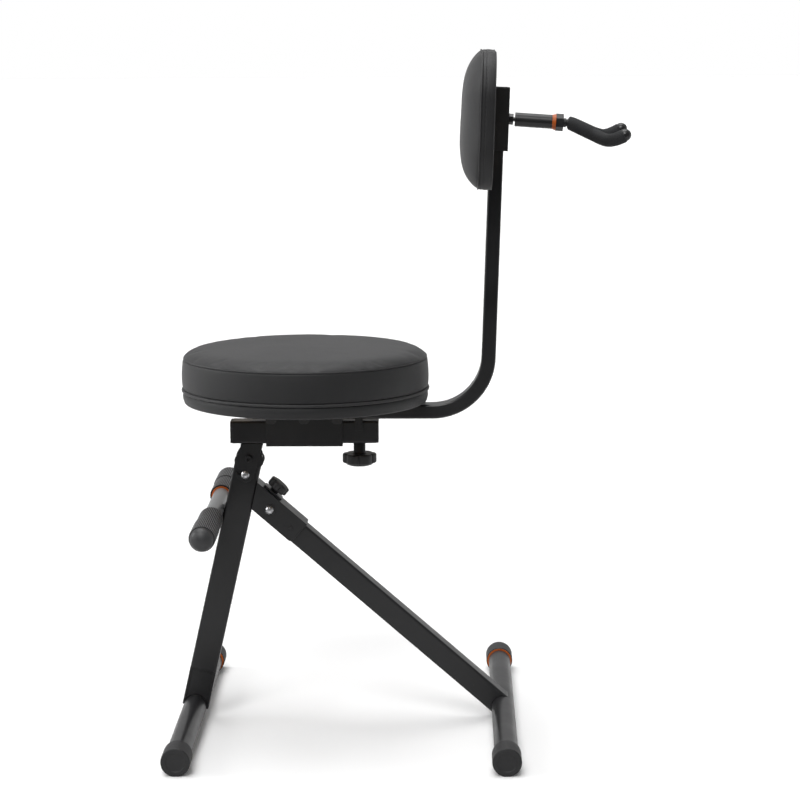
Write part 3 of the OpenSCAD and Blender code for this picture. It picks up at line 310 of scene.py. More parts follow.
def make_hide_group():
    """Pressed vinyl grain: cells parted by soft valleys, at two sizes, under slow
    changes of tone."""
    tree, given, out = group("vinyl_hide", [("Cell Scale", 900.0)], ["Height", "Tone", "Shine"])
    here = stretched(tree, (1, 1, 1))
    scale = given.outputs["Cell Scale"]
    large = spread(tree, cells(tree, here, scale), 0.0, 0.28)
    small = spread(tree, cells(tree, here, calc(tree, "MULTIPLY", scale, 2.3)), 0.0, 0.3)
    both = calc(tree, "ADD", calc(tree, "MULTIPLY", large, 0.7), calc(tree, "MULTIPLY", small, 0.3))
    broad = noise(tree, here, 9.0, 4.0)
    tree.links.new(both, out.inputs["Height"])
    tree.links.new(spread(tree, broad, 0.3, 0.7), out.inputs["Tone"])
    patches = spread(tree, noise(tree, here, 24.0), 0.3, 0.7, 0.6, 1.0)
    tree.links.new(calc(tree, "MULTIPLY", both, patches), out.inputs["Shine"])
    return tree


def make_paint_group():
    """Powder paint: a fine orange-peel height, slow clouds of tone, and sparse rubs
    where a stretched noise passes its limit."""
    tree, given, out = group("powder_paint", [("Peel Scale", 1400.0), ("Rub", 0.5)],
                             ["Height", "Tone", "Rubbed"])
    here = stretched(tree, (1, 1, 1))
    tree.links.new(noise(tree, here, given.outputs["Peel Scale"], 2.0), out.inputs["Height"])
    tree.links.new(spread(tree, noise(tree, here, 12.0, 5.0), 0.3, 0.7), out.inputs["Tone"])
    long_marks = noise(tree, stretched(tree, (1, 1, 0.2)), 260.0, 5.0, 0.7)
    marks = spread(tree, long_marks, 0.68, 0.8)
    tree.links.new(calc(tree, "MULTIPLY", marks, given.outputs["Rub"]), out.inputs["Rubbed"])
    return tree


def make_metal_group():
    """Plated metal: fine scratches from a stretched noise and soft blooms of tarnish."""
    tree, given, out = group("plated_metal", [("Scratch Scale", 900.0)],
                             ["Height", "Tone", "Rough"])
    fine = noise(tree, stretched(tree, (1, 0.15, 1)), given.outputs["Scratch Scale"], 4.0, 0.6)
    bloom = noise(tree, stretched(tree, (1, 1, 1)), 85.0, 5.0, 0.6)
    tree.links.new(fine, out.inputs["Height"])
    tree.links.new(spread(tree, bloom, 0.3, 0.75), out.inputs["Tone"])
    both = calc(tree, "ADD", fine, bloom)
    tree.links.new(spread(tree, both, 0.7, 1.3, 0.16, 0.42), out.inputs["Rough"])
    return tree


def make_moulded_group():
    """Moulded plastic or rubber: spark-eroded speckle and a slow change of tone."""
    tree, given, out = group("moulded_skin", [("Speckle Scale", 2200.0)], ["Height", "Tone"])
    here = stretched(tree, (1, 1, 1))
    speckle = noise(tree, here, given.outputs["Speckle Scale"], 3.0, 0.7)
    tree.links.new(speckle, out.inputs["Height"])
    tree.links.new(spread(tree, noise(tree, here, 40.0, 4.0), 0.3, 0.7), out.inputs["Tone"])
    return tree


GROUPS = {
    "hide": make_hide_group(), "paint": make_paint_group(),
    "metal": make_metal_group(), "moulded": make_moulded_group(),
}


class Finish:
    """A material with one Principled shader, and short words for its links."""

    def __init__(self, name, **values):
        self.material = bpy.data.materials.new(name)
        self.material.use_nodes = True
        self.tree = self.material.node_tree
        self.shader = self.tree.nodes["Principled BSDF"]
        for socket, value in values.items():
            self.shader.inputs[socket.replace("_", " ")].default_value = value

    def place(self, kind, **values):
        """One of the shared groups, with values for its inputs; returns its outputs."""
        node = self.tree.nodes.new("ShaderNodeGroup")
        node.node_tree = GROUPS[kind]
        for socket, value in values.items():
            node.inputs[socket.replace("_", " ")].default_value = value
        return node.outputs

    def blend(self, mask, dark, light):
        """A node that mixes two colours by a mask."""
        node = self.tree.nodes.new("ShaderNodeMix")
        node.data_type = "RGBA"
        node.inputs["A"].default_value = (*dark, 1)
        node.inputs["B"].default_value = (*light, 1)
        self.tree.links.new(mask, node.inputs["Factor"])
        return node

    def colour(self, mask, dark, light, over=None, over_colour=None):
        """Base colour by a mask, with another colour over it where `over` is high."""
        node = self.blend(mask, dark, light)
        result = node.outputs["Result"]
        if over is not None:
            top = self.blend(over, dark, over_colour)
            self.tree.links.new(result, top.inputs["A"])
            result = top.outputs["Result"]
        self.tree.links.new(result, self.shader.inputs["Base Color"])

    def roughness(self, mask, low, high):
        rough = spread(self.tree, mask, 0, 1, low, high)
        self.tree.links.new(rough, self.shader.inputs["Roughness"])

    def relief(self, height, depth, strength=1.0, edge=0.0):
        """Bump of a height in metres, over edges that are shaded round."""
        node = self.tree.nodes.new("ShaderNodeBump")
        if edge:
            rounding = self.tree.nodes.new("ShaderNodeBevel")
            rounding.samples = 4
            rounding.inputs["Radius"].default_value = edge
            self.tree.links.new(rounding.outputs[0], node.inputs["Normal"])
        node.inputs["Strength"].default_value = strength
        node.inputs["Distance"].default_value = depth
        self.tree.links.new(height, node.inputs["Height"])
        self.tree.links.new(node.outputs[0], self.shader.inputs["Normal"])


BARE_METAL = (0.2, 0.2, 0.21)
SKIN_DEPTH = 0.00003


def vinyl(name, dark, light, cell=1100.0):
    finish = Finish(name, Specular_IOR_Level=0.45, Sheen_Weight=0.08, Sheen_Roughness=0.5)
    hide = finish.place("hide", Cell_Scale=cell)
    finish.colour(hide["Tone"], dark, light)
    finish.roughness(hide["Shine"], 0.62, 0.47)
    finish.relief(hide["Height"], depth=0.00006, strength=0.8)
    return finish.material


def paint(name, dark, light, rough=(0.3, 0.46), rub=0.5):
    finish = Finish(name, Specular_IOR_Level=0.45, Coat_Weight=0.25, Coat_Roughness=0.18)
    coat = finish.place("paint", Rub=rub)
    finish.colour(coat["Tone"], dark, light, coat["Rubbed"], BARE_METAL)
    finish.roughness(coat["Tone"], *rough)
    finish.relief(coat["Height"], SKIN_DEPTH, strength=0.5, edge=0.0016)
    return finish.material


def metal(name, dark, light, scratch=900.0):
    finish = Finish(name, Metallic=1.0)
    plate = finish.place("metal", Scratch_Scale=scratch)
    finish.colour(plate["Tone"], dark, light)
    finish.tree.links.new(plate["Rough"], finish.shader.inputs["Roughness"])
    finish.relief(plate["Height"], depth=0.00002, strength=0.5, edge=0.0006)
    return finish.material


def moulded(name, dark, light, rough=(0.45, 0.6), speckle=2200.0, edge=0.0):
    finish = Finish(name, Specular_IOR_Level=0.5)
    skin_of = finish.place("moulded", Speckle_Scale=speckle)
    finish.colour(skin_of["Tone"], dark, light)
    finish.roughness(skin_of["Tone"], *rough)
    finish.relief(skin_of["Height"], SKIN_DEPTH, strength=0.6, edge=edge)
    return finish.material


def knurled(name):
    """Rubber with a painted highlight on its ribs' tops, which are also smoother, and painted shade in the valleys
    between.
    """
    finish = Finish(name, Specular_IOR_Level=0.5)
    skin_of = finish.place("moulded", Speckle_Scale=1800.0)
    ridge = finish.tree.nodes.new("ShaderNodeAttribute")
    ridge.attribute_name = "ridge"
    top = spread(finish.tree, ridge.outputs["Fac"], 0.45, 0.95)
    # Painted highlight and shade: pale on the rib tops, near black in the valleys, by each point's height on its
    # rib
    finish.colour(top, (0.002, 0.002, 0.0025), (0.17, 0.17, 0.175))
    finish.roughness(top, 0.7, 0.4)
    finish.relief(skin_of["Height"], SKIN_DEPTH, strength=0.6)
    return finish.material


def foam(name):
    """Closed-cell foam: small pits on a matt skin."""
    finish = Finish(name, Specular_IOR_Level=0.3, Roughness=0.85)
    here = stretched(finish.tree, (1, 1, 1))
    pit_depth_and_shade = spread(finish.tree, cells(finish.tree, here, 1500.0, "F1"), 0.1, 0.6)
    # The pits' bottoms are painted darker than the skin: painted shade in the hollows
    finish.colour(pit_depth_and_shade, (0.012, 0.012, 0.013), (0.03, 0.031, 0.033))
    finish.roughness(pit_depth_and_shade, 0.92, 0.7)
    finish.relief(pit_depth_and_shade, depth=0.00008, strength=0.7)
    return finish.material


def plywood(name):
    """Thin plies in Z, each streaked along its own grain."""
    finish = Finish(name, Roughness=0.7)
    tree = finish.tree
    plies = noise(tree, stretched(tree, (0.4, 0.4, 420)), 1.6, 2.0)
    streaks = noise(tree, stretched(tree, (14, 160, 160)), 1.0, 4.0)
    halves = [calc(tree, "MULTIPLY", part, 0.5) for part in (plies, streaks)]
    mask = spread(tree, calc(tree, "ADD", *halves), 0.35, 0.65)
    finish.colour(mask, (0.22, 0.13, 0.07), (0.5, 0.36, 0.22))
    finish.roughness(mask, 0.6, 0.8)
    finish.relief(streaks, depth=0.0001, strength=0.4)
    return finish.material


LOOKS = {
    "frame_paint": paint("black_powder_paint", (0.008, 0.008, 0.009), (0.013, 0.013, 0.014)),
    "zinc": metal("bright_zinc", (0.5, 0.5, 0.51), (0.78, 0.78, 0.8)),
    "plain_nut": metal("plain_zinc", (0.36, 0.36, 0.37), (0.58, 0.58, 0.6), 700.0),
    "black_bolt": paint("black_oxide", (0.006, 0.006, 0.007), (0.014, 0.014, 0.015), (0.28, 0.4)),
    "foot_rubber": moulded("foot_cap_rubber", (0.012, 0.012, 0.013), (0.02, 0.02, 0.021),
                           (0.5, 0.62)),
    "orange_ring": moulded("orange_plastic", (0.5, 0.1, 0.015), (0.62, 0.15, 0.025), (0.32, 0.45)),
    "knob_plastic": moulded("knob_nylon", (0.013, 0.013, 0.014), (0.024, 0.024, 0.026),
                            (0.4, 0.55), 1500.0),
    "rest_tube": paint("grey_satin_paint", (0.17, 0.175, 0.18), (0.23, 0.235, 0.24),
                       (0.3, 0.42), 0.3),
    "grip_rubber": moulded("grip_rubber", (0.026, 0.026, 0.027), (0.04, 0.04, 0.042),
                           (0.38, 0.5), 1800.0),
    "ribbed_rubber": knurled("ribbed_rubber"),
    "plug_plastic": moulded("plug_plastic", (0.01, 0.01, 0.011), (0.018, 0.018, 0.019),
                            (0.32, 0.46), edge=0.0012),
    "tip_plastic": moulded("tip_plastic", (0.016, 0.016, 0.017), (0.026, 0.026, 0.027),
                           (0.2, 0.3)),
    "thread": moulded("dark_thread", (0.003, 0.003, 0.003), (0.006, 0.006, 0.006), (0.7, 0.9)),
    "plate_paint": paint("plate_satin_paint", (0.02, 0.02, 0.021), (0.032, 0.032, 0.034),
                         (0.4, 0.55)),
    "board_wood": plywood("raw_plywood"),
    "screw_steel": metal("screw_steel", (0.3, 0.3, 0.31), (0.5, 0.5, 0.52), 1200.0),
    "upholstery": vinyl("black_vinyl", (0.014, 0.014, 0.015), (0.021, 0.021, 0.022)),
    # The cords' vinyl is painted lighter than the cover's: a painted highlight along each cord
    "piping": vinyl("cord_vinyl_painted_highlight", (0.02, 0.02, 0.021), (0.032, 0.032, 0.033), 1600.0),
    "yoke_steel": paint("yoke_paint", (0.01, 0.01, 0.011), (0.018, 0.018, 0.019)),
    "yoke_sleeve": foam("sleeve_foam"),
}
SLOT_OF = {row["node"]: row["material_slot"] for row in frame["record"]["subparts"]}


def dress(piece, slot):
    piece.data.materials.clear()
    piece.data.materials.append(LOOKS[slot])


def finished(piece, body, slot, *stands_for, look=None):
    """Gives a new piece its finish, its body and the nodes that it stands for."""
    dress(piece, look or slot)
    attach(piece, body)
    if stands_for:
        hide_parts(*stands_for)
    return piece


for node_name, node in nodes.items():
    dress(node, SLOT_OF[node_name])


# Cloth: covers are blown up between the seams that hold them

CLOTH_FRAMES = 20
CLOTH = {
    "vertex_group_mass": "held",
    "quality": 6,
    "mass": 0.3,
    "tension_stiffness": 20,
    "compression_stiffness": 20,
    "shear_stiffness": 8,
    "bending_stiffness": 0.6,
    "use_pressure": True,
}


def inflate(piece, held, pressure, cap, growth):
    """Runs cloth under pressure with no gravity. `held` is one weight a point, 1 where
    a seam holds the cover. The cloth is cut larger by the share `growth`, and each
    point's move is limited smoothly to `cap` metres."""
    mesh = piece.data
    holder = piece.vertex_groups.new(name="held")
    held = np.round(held, 1)
    for weight in np.unique(held):
        if weight > 0:
            where = np.flatnonzero(np.isclose(held, weight))
            holder.add(where.tolist(), float(weight), "REPLACE")
    before = np.empty(len(mesh.vertices) * 3)
    mesh.vertices.foreach_get("co", before)
    cloth = piece.modifiers.new("cover", "CLOTH")
    for setting, value in CLOTH.items():
        setattr(cloth.settings, setting, value)
    cloth.settings.shrink_min = -growth
    cloth.settings.uniform_pressure_force = pressure
    cloth.settings.effector_weights.gravity = 0
    cloth.collision_settings.use_collision = False
    cloth.point_cache.frame_start = 1
    cloth.point_cache.frame_end = CLOTH_FRAMES
    for step in range(1, CLOTH_FRAMES + 1):
        scene.frame_set(step)
    view = bpy.context.evaluated_depsgraph_get()
    result = piece.evaluated_get(view).to_mesh()
    after = np.empty(len(result.vertices) * 3)
    result.vertices.foreach_get("co", after)
    piece.evaluated_get(view).to_mesh_clear()
    piece.modifiers.remove(cloth)
    piece.vertex_groups.clear()
    scene.frame_set(1)
    move = (after - before).reshape(-1, 3)
    length = np.linalg.norm(move, axis=1)[:, None] + TINY
    limited = move / length * cap * np.tanh(length / cap)
    mesh.vertices.foreach_set("co", (before.reshape(-1, 3) + limited).ravel())
    mesh.update()


def sewn(name, rows, held, pressure, cap, growth):
    """A cover from a grid of rows, whose first and last are poles, blown up where its
    rows aren't held."""
    piece = skin(name, rows)
    cols = rows.shape[1]
    weights = np.concatenate([np.repeat(held[1:-1], cols), held[:1], held[-1:]])
    inflate(piece, weights, pressure, cap, growth)
    smoother = piece.modifiers.new("smooth", "SUBSURF")
    smoother.levels = 1
    smoother.render_levels = 1
    return piece


# Seat: a turned cover with a lower band, a side wall and a rolled, crowned top

SEAT_R = 176.2 * MM
BAND_TOP = 19.2 * MM
SEAM_UP = 64.2 * MM
SEAM_R = 173.2 * MM
WELT_D = 4.4 * MM
PIPE_D = 2.4 * MM
BOARD_R = 163.4 * MM
BOARD_T = 12.4 * MM
ROLL = 11 * MM
CROWN = 3.2 * MM
HEM_OUT = 173.2 * MM
HEM_R = 4 * MM
BAND_SWELL = 1.2 * MM
WALL_FOOT_R = 174 * MM
WALL_SWELL = 1.6 * MM
COVER_SIDES = 288
RING_SIDES = 360


def seat_profile():
    """Rows (r, z, held) of the cover from the recess for the board, under the rim, up
    the band and the wall, over the seam and in to the top's middle."""
    recess = BOARD_T + COVER_HANG
    under = [(0, recess, 1), (BOARD_R * 0.5, recess, 1), (BOARD_R, recess, 1),
             (BOARD_R, 0.3 * MM, 1), (BOARD_R + 1.5 * MM, 0, 1)]
    hem = [(r, z, 1) for r, z in arc((HEM_OUT - HEM_R, HEM_R), HEM_R, -90, 0, 5)]
    band_rise = BAND_TOP - 6.6 * MM
    band = [(HEM_OUT + BAND_SWELL * math.sin(math.pi * t), HEM_R + band_rise * t, 0.6)
            for t in np.linspace(0.15, 1, 6)]
    welt_in = SEAT_R - WELT_D - 0.3 * MM
    groove = [(welt_in + 1 * MM, BAND_TOP - 2.2 * MM, 1), (welt_in, BAND_TOP - 1.2 * MM, 1),
              (welt_in, BAND_TOP + 1.2 * MM, 1), (welt_in + 1 * MM, BAND_TOP + 2.2 * MM, 1)]
    wall = []
    wall_low, wall_high = BAND_TOP + 2.6 * MM, SEAM_UP - 1.6 * MM
    for t in np.linspace(0, 1, 16):
        straight = WALL_FOOT_R * (1 - t) + SEAM_R * t
        swell = WALL_SWELL * math.sin(math.pi * t ** 0.9) ** 0.7 if 0 < t < 1 else 0
        height = wall_low + (wall_high - wall_low) * t
        wall.append((straight + swell, height, 1 if t in (0, 1) else 0))
    seam_in = SEAM_R - PIPE_D * 0.9
    seam = [(seam_in, SEAM_UP - 0.9 * MM, 1), (seam_in, SEAM_UP + 0.6 * MM, 1)]
    top = []
    for t in np.linspace(0.02, 1, 30) ** 1.7:
        share = 1 - t
        rise = ROLL * (1 - share ** 20) + CROWN * (1 - share * share)
        top.append((SEAM_R * share, SEAM_UP + 1.2 * MM + (rise - 1.6 * MM) * 0.98, 0))
    return under + hem + band + groove + wall + seam + top


def seat_cover():
    rows = np.array(seat_profile())
    angle = np.linspace(0, TURN, COVER_SIDES, endpoint=False)
    ring = np.stack([np.cos(angle), np.sin(angle), 0 * angle], 1)
    radius, height = rows[:, 0, None], rows[:, 1, None]
    free = (1 - rows[:, 2, None]) * (radius > 0.02)
    broad = waves(angle, seed=3, lowest=2, limit=9, size=0.5 * MM)
    fine = waves(angle, seed=5, lowest=9, limit=40, size=0.12 * MM)
    wobble = free * (broad + fine)
    grid = SEAT_AXIS + (radius + wobble)[..., None] * ring
    grid[..., 2] += SEAT_LOW + height + 0.3 * free * wobble
    cover = sewn("seat_cover", grid, rows[:, 2], pressure=1.6, cap=1.2 * MM, growth=0.0)
    return finished(cover, "seat_frame", "upholstery", "seat_cushion")


def ring_cord(name, radius, up, thick, seed, node):
    """A cord round the seat that wavers a little, as sewn cord does."""
    angle = np.linspace(0, TURN, RING_SIDES, endpoint=False)
    r = radius - thick / 2 + waves(angle, seed, lowest=3, limit=12, size=0.12 * MM)
    z = SEAT_LOW + up + waves(angle, seed + 1, lowest=2, limit=10, size=0.2 * MM)
    route = np.stack([SEAT_AXIS[0] + r * np.cos(angle), SEAT_AXIS[1] + r * np.sin(angle), z], 1)
    cord = tube(name, route, thick / 2, sides=12, closed=True)
    return finished(cord, "seat_frame", "piping", node)


seat_cover()
ring_cord("seat_lower_welt", SEAT_R, BAND_TOP, WELT_D, seed=11, node="seat_welt")
ring_cord("seat_top_cord", SEAM_R, SEAM_UP, PIPE_D, seed=13, node="seat_piping")


# Backrest pad: a rounded rectangle with a boxing band and a domed front

PAD_H = 189 * MM
PAD_W = 290 * MM
PAD_R = 62 * MM
PAD_BAND = 19 * MM
PAD_DOME = 27 * MM
BOARD_INSET = 12.6 * MM
BOARD_FRONT = 20.5 * MM
BACK_OF_BAND = 6 * MM
STITCH_AT = 10 / 14
STITCHES = 130
STEPS_A_STITCH = 8
THREAD_R = 0.4 * MM
WEB_OUT = 16 * MM
POST_CLEAR = 10.6 * MM
NOTCH_HALF = 17 * MM
SETTLED = 1.7 * MM
CORD_SIDES = 432
FRONT_CORD_D = 2.2 * MM
REAR_CORD_D = 1.2 * MM


def pad_outline(inset, count=COVER_SIDES):
    """Points (up, across) of a rounded rectangle, evenly spread by length: four sides
    and four quarter circles, walked once."""
    r = max(PAD_R - inset, 4 * MM)
    half_up, half_across = PAD_H / 2 - inset - r, PAD_W / 2 - inset - r
    points = []
    for sx, sy, start in ((1, 1, 0), (-1, 1, 90), (-1, -1, 180), (1, -1, 270)):
        points += arc((sx * half_up, sy * half_across), r, start, start + 90, 40)
    points = np.array(points + points[:1])
    length = np.concatenate([[0], np.cumsum(np.linalg.norm(np.diff(points, axis=0), axis=1))])
    where = np.linspace(0, length[-1], count, endpoint=False)
    return np.stack([np.interp(where, length, points[:, k]) for k in (0, 1)], 1)


def on_pad(flat, depth):
    """Points of the pad: flat is (up, across), depth grows to the front from the
    upright's middle plane."""
    centre = HANGER - POST_REAR * WEB_OUT
    across = flat[..., 1, None] * np.array([0, 1.0, 0])
    return centre + flat[..., 0, None] * POST_UP + across - np.asarray(depth)[..., None] * POST_REAR


def passing(flat):
    """1 where the upright passes the pad's lower edge, falling to 0 beside it."""
    return (flat[:, 0] < 0) / (1 + (np.abs(flat[:, 1]) / NOTCH_HALF) ** 12)


def band_depth(t):
    """Depth of a place on the boxing band, t = 0 at its rear and 1 at its front."""
    return BACK_OF_BAND + 1.4 * MM + (PAD_BAND - 2.8 * MM) * t


def pad_rows():
    """Rows (inset, scale, depth, held) of the pad's cover: the recess for its board,
    the rear fold, the band with a line of stitches, the seam and the dome."""
    seam = BACK_OF_BAND + PAD_BAND
    rows = [(BOARD_INSET, 0, BOARD_FRONT, 1), (BOARD_INSET, 0.5, BOARD_FRONT, 1),
            (BOARD_INSET, 1, BOARD_FRONT, 1), (BOARD_INSET, 1, BACK_OF_BAND + 0.6 * MM, 1),
            (BOARD_INSET - 1.5 * MM, 1, BACK_OF_BAND, 1), (5 * MM, 1, BACK_OF_BAND - 0.4 * MM, 0.7),
            (1.8 * MM, 1, BACK_OF_BAND - 0.1 * MM, 1), (1.1 * MM, 1, BACK_OF_BAND + 0.5 * MM, 1)]
    for t in np.linspace(0, 1, 15):
        swell = 0.9 * MM * math.sin(math.pi * t) ** 0.7 if 0 < t < 1 else 0
        sewn_in = 0.8 * MM if abs(t - STITCH_AT) < 0.01 else 0
        stiff = 1 if sewn_in or t in (0, 1) else 0.2
        rows.append((1.1 * MM - swell + sewn_in, 1, band_depth(t), stiff))
    rows += [(2.2 * MM, 1, seam - 0.6 * MM, 1), (2.4 * MM, 1, seam + 0.6 * MM, 1)]
    for t in np.linspace(0.02, 1, 34) ** 1.6:
        share = 1 - t
        rise = (PAD_DOME - 2.4 * MM) * (1 - share ** 4.2) ** 0.85
        rows.append((2.6 * MM, share, seam + 1.4 * MM + rise, 0))
    return np.array(rows)


def pad_cover():
    rows = pad_rows()
    angle = np.linspace(0, TURN, COVER_SIDES, endpoint=False)
    broad = waves(angle, seed=21, lowest=2, limit=10, size=0.4 * MM)
    fine = waves(angle, seed=23, lowest=10, limit=40, size=0.12 * MM)
    wobble = broad + fine
    grid = []
    for inset, scale, depth, held in rows:
        flat = pad_outline(inset) * scale
        depth = depth + (1 - held) * wobble * min(1, 3 * scale)
        if depth.min() > BACK_OF_BAND + PAD_BAND + 1 * MM:
            # The dome's filling has settled a little towards its lower edge
            depth = depth - SETTLED * flat[:, 0] / (PAD_H / 2) * (1 - scale ** 8)
        # The rear rim stands off the upright that passes it at the bottom
        depth = depth + passing(flat) * (scale == 1) * np.maximum(POST_CLEAR - depth, 0)
        grid.append(on_pad(flat, depth))
    cover = sewn("back_pad_cover", np.array(grid), rows[:, 3], pressure=2.4, cap=2.4 * MM,
                 growth=0.001)
    return finished(cover, "backrest", "upholstery", "back_cushion")


def pad_cord(name, depth, thick, seed, *stands_for):
    """A cord round the pad that wavers a little and clears the upright."""
    angle = np.linspace(0, TURN, CORD_SIDES, endpoint=False)
    waver = 1 + waves(angle, seed, lowest=3, limit=14, size=0.0008)
    flat = pad_outline(thick / 2 + 0.2 * MM, CORD_SIDES) * waver[:, None]
    depth = depth + passing(flat) * max(POST_CLEAR + thick / 2 - depth, 0)
    route = on_pad(flat, depth + waves(angle, seed + 1, lowest=2, limit=12, size=0.15 * MM))
    cord = tube(name, route, thick / 2, sides=12, closed=True)
    return finished(cord, "backrest", "piping", *stands_for)


def pad_stitches():
    """The thread of the band's seam: its route dips under the cover once a stitch,
    inset = 1.5 mm - 0.6 mm cos(n a)."""
    count = STITCHES * STEPS_A_STITCH
    angle = np.linspace(0, TURN, count, endpoint=False)
    high, low = pad_outline(0.9 * MM, count), pad_outline(2.1 * MM, count)
    dip = (0.5 - 0.5 * np.cos(STITCHES * angle))[:, None]
    route = on_pad(high * (1 - dip) + low * dip, np.full(count, band_depth(STITCH_AT)))
    thread = tube("back_stitches", route, THREAD_R, sides=6, closed=True)
    return finished(thread, "backrest", "piping", look="thread")


pad_cover()
pad_cord("back_front_cord", BACK_OF_BAND + PAD_BAND, FRONT_CORD_D, 31, "back_piping")
pad_cord("back_rear_cord", BACK_OF_BAND + 0.6 * MM, REAR_CORD_D, 33)
pad_stitches()


# Knobs: lobed hand knobs with rounded edges

CLAMP_KNOB_R = 24.25 * MM
LOCK_KNOB_R = 16 * MM
LOCK_NECK_AT = 22.3 * MM
LOBE_BITE = 0.18
KNOB_SIDES = 252


def lobed_knob(name, origin, along, radius, lobes, rows):
    """Rows (share, h, depth) of a knob: at each height the outline is
    share * radius * (1 - bite * depth * (1 - |cos(lobes a / 2)|^0.6))."""
    u, v, w = axes(along)
    angle = np.linspace(0, TURN, KNOB_SIDES, endpoint=False)
    lobe = 1 - np.abs(np.cos(lobes * angle / 2)) ** 0.6
    ring = np.cos(angle)[:, None] * u + np.sin(angle)[:, None] * v
    grid = []
    for share, height, depth in rows:
        r = radius * share * (1 - LOBE_BITE * depth * lobe)
        grid.append(origin + r[:, None] * ring + height * w)
    return skin(name, np.array(grid))


def knob_rows(low, high, crown):
    """A knob's head: two edges rounded by quarter arcs, and a low dome."""
    edge = (high - low) * 0.18
    quarter = np.linspace(0.2, 1.57, 6)
    rows = [(0.55, low, 0.6), (0.86, low, 1)]
    rows += [(0.9 + 0.1 * math.sin(a), low + edge * (1 - math.cos(a)), 1) for a in quarter]
    rows += [(1, low + edge + (high - low - 2 * edge) * t, 1) for t in (0.33, 0.66, 1)]
    rows += [(0.88 + 0.12 * math.cos(a), high - edge * (1 - math.sin(a)), 1) for a in quarter]
    rows += [(0.88 - 0.1 * t, high + crown * 0.25 * t, 1 - 0.5 * t) for t in (0.5, 1)]
    rows += [(0.78 * math.cos(a), high + crown * (0.25 + 0.75 * math.sin(a)), 0.4 * math.cos(a))
             for a in np.linspace(0.25, math.pi / 2, 7)]
    return rows


def hand_knobs():
    clamp_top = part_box("clamp_knob")[1][2]
    centre = middle("clamp_knob")
    origin = np.array([centre[0], centre[1], clamp_top])
    neck = [(0, 0, 0), (0.335, 0, 0), (0.35, 0.6 * MM, 0), (0.35, 14 * MM, 0),
            (0.42, 15.8 * MM, 0.2)]
    rows = neck + knob_rows(16 * MM, 30 * MM, 4.5 * MM)
    knob = lobed_knob("clamp_hand_knob", origin, (0, 0, -1), CLAMP_KNOB_R, 6, rows)
    finished(knob, "clamp", "knob_plastic", "clamp_knob")
    # The lock knob's neck starts above its base plate, along the lock's axis
    base = np.array(joints["lock_turn"]["pos_m"]) + LOCK_UP * LOCK_NECK_AT
    neck = [(0, 0, 0), (0.38, 0, 0), (0.405, 0.5 * MM, 0), (0.405, 3 * MM, 0), (0.5, 3.6 * MM, 0.2)]
    rows = neck + knob_rows(3.6 * MM, 14.9 * MM, 1.2 * MM)
    knob = lobed_knob("lock_hand_knob", base, LOCK_UP, LOCK_KNOB_R, 7, rows)
    finished(knob, "lock", "knob_plastic", "lock_knob")


hand_knobs()


# Foot caps: rubber with a rounded rim, a shallow face and a ridge at the ring

CAP_R = 20 * MM
CAP_LEN = 41 * MM
BAR_LEN = 576 * MM
RING_SEAT = 2.4 * MM
BAR_R = 16.5 * MM
SOLE = 0.6 * MM
PLAY = 0.05 * MM


def foot_caps(name, node, body):
    """Both caps of a foot bar, turned from the outer face inwards, each with a flat
    sole where it meets the floor."""
    centre = middle(node)
    axis_up = CAP_R - SOLE
    bore, mouth, face = BAR_R + PLAY, CAP_R - 1.2 * MM, 3 * MM
    profile = [(0, 1.0 * MM), (CAP_R * 0.62, 1.0 * MM), (CAP_R * 0.66, 0.3 * MM),
               (CAP_R - 1.4 * MM, 0), (CAP_R - 0.4 * MM, 0.5 * MM), (CAP_R, 1.6 * MM),
               (CAP_R, CAP_LEN - 4 * MM), (CAP_R - 0.2 * MM, CAP_LEN - 0.4 * MM),
               (CAP_R - 0.7 * MM, CAP_LEN), (mouth, CAP_LEN), (mouth, CAP_LEN - RING_SEAT),
               (bore, CAP_LEN - RING_SEAT), (bore, face), (0, face)]
    rows = rounded_corner(profile, 0.5 * MM)
    pair = []
    for side in (-1, 1):
        origin = np.array([centre[0], side * BAR_LEN / 2, axis_up])
        cap = turned("cap", rows, origin, (0, -side, 0), sides=120)
        points = np.array([p.co for p in cap.data.vertices])
        points[:, 2] = np.maximum(points[:, 2], 0)
        cap.data.vertices.foreach_set("co", points.ravel())
        pair.append(cap)
    finished(joined(name, pair), body, "foot_rubber", node)


foot_caps("front_rubber_caps", "front_foot_caps", "leg_frame")
foot_caps("rear_rubber_caps", "rear_foot_caps", "rear_leg_body")


# Footrest: grips with fine rounded ribs and domed ends

GRIP_R = 18.25 * MM
GRIP_STEP = 1.1 * MM
GRIP_RIBS = 44
KNURL_H = 1.3 * MM
KNURL_LEN = 14 * MM
GRIP_SWAY = 0.35
REST_HALF = 236 * MM
DOME_LEN = 14 * MM
GRIP_LEN = 140 * MM
REST_TUBE_R = 12 * MM
RING_BORE_R = 14.55 * MM


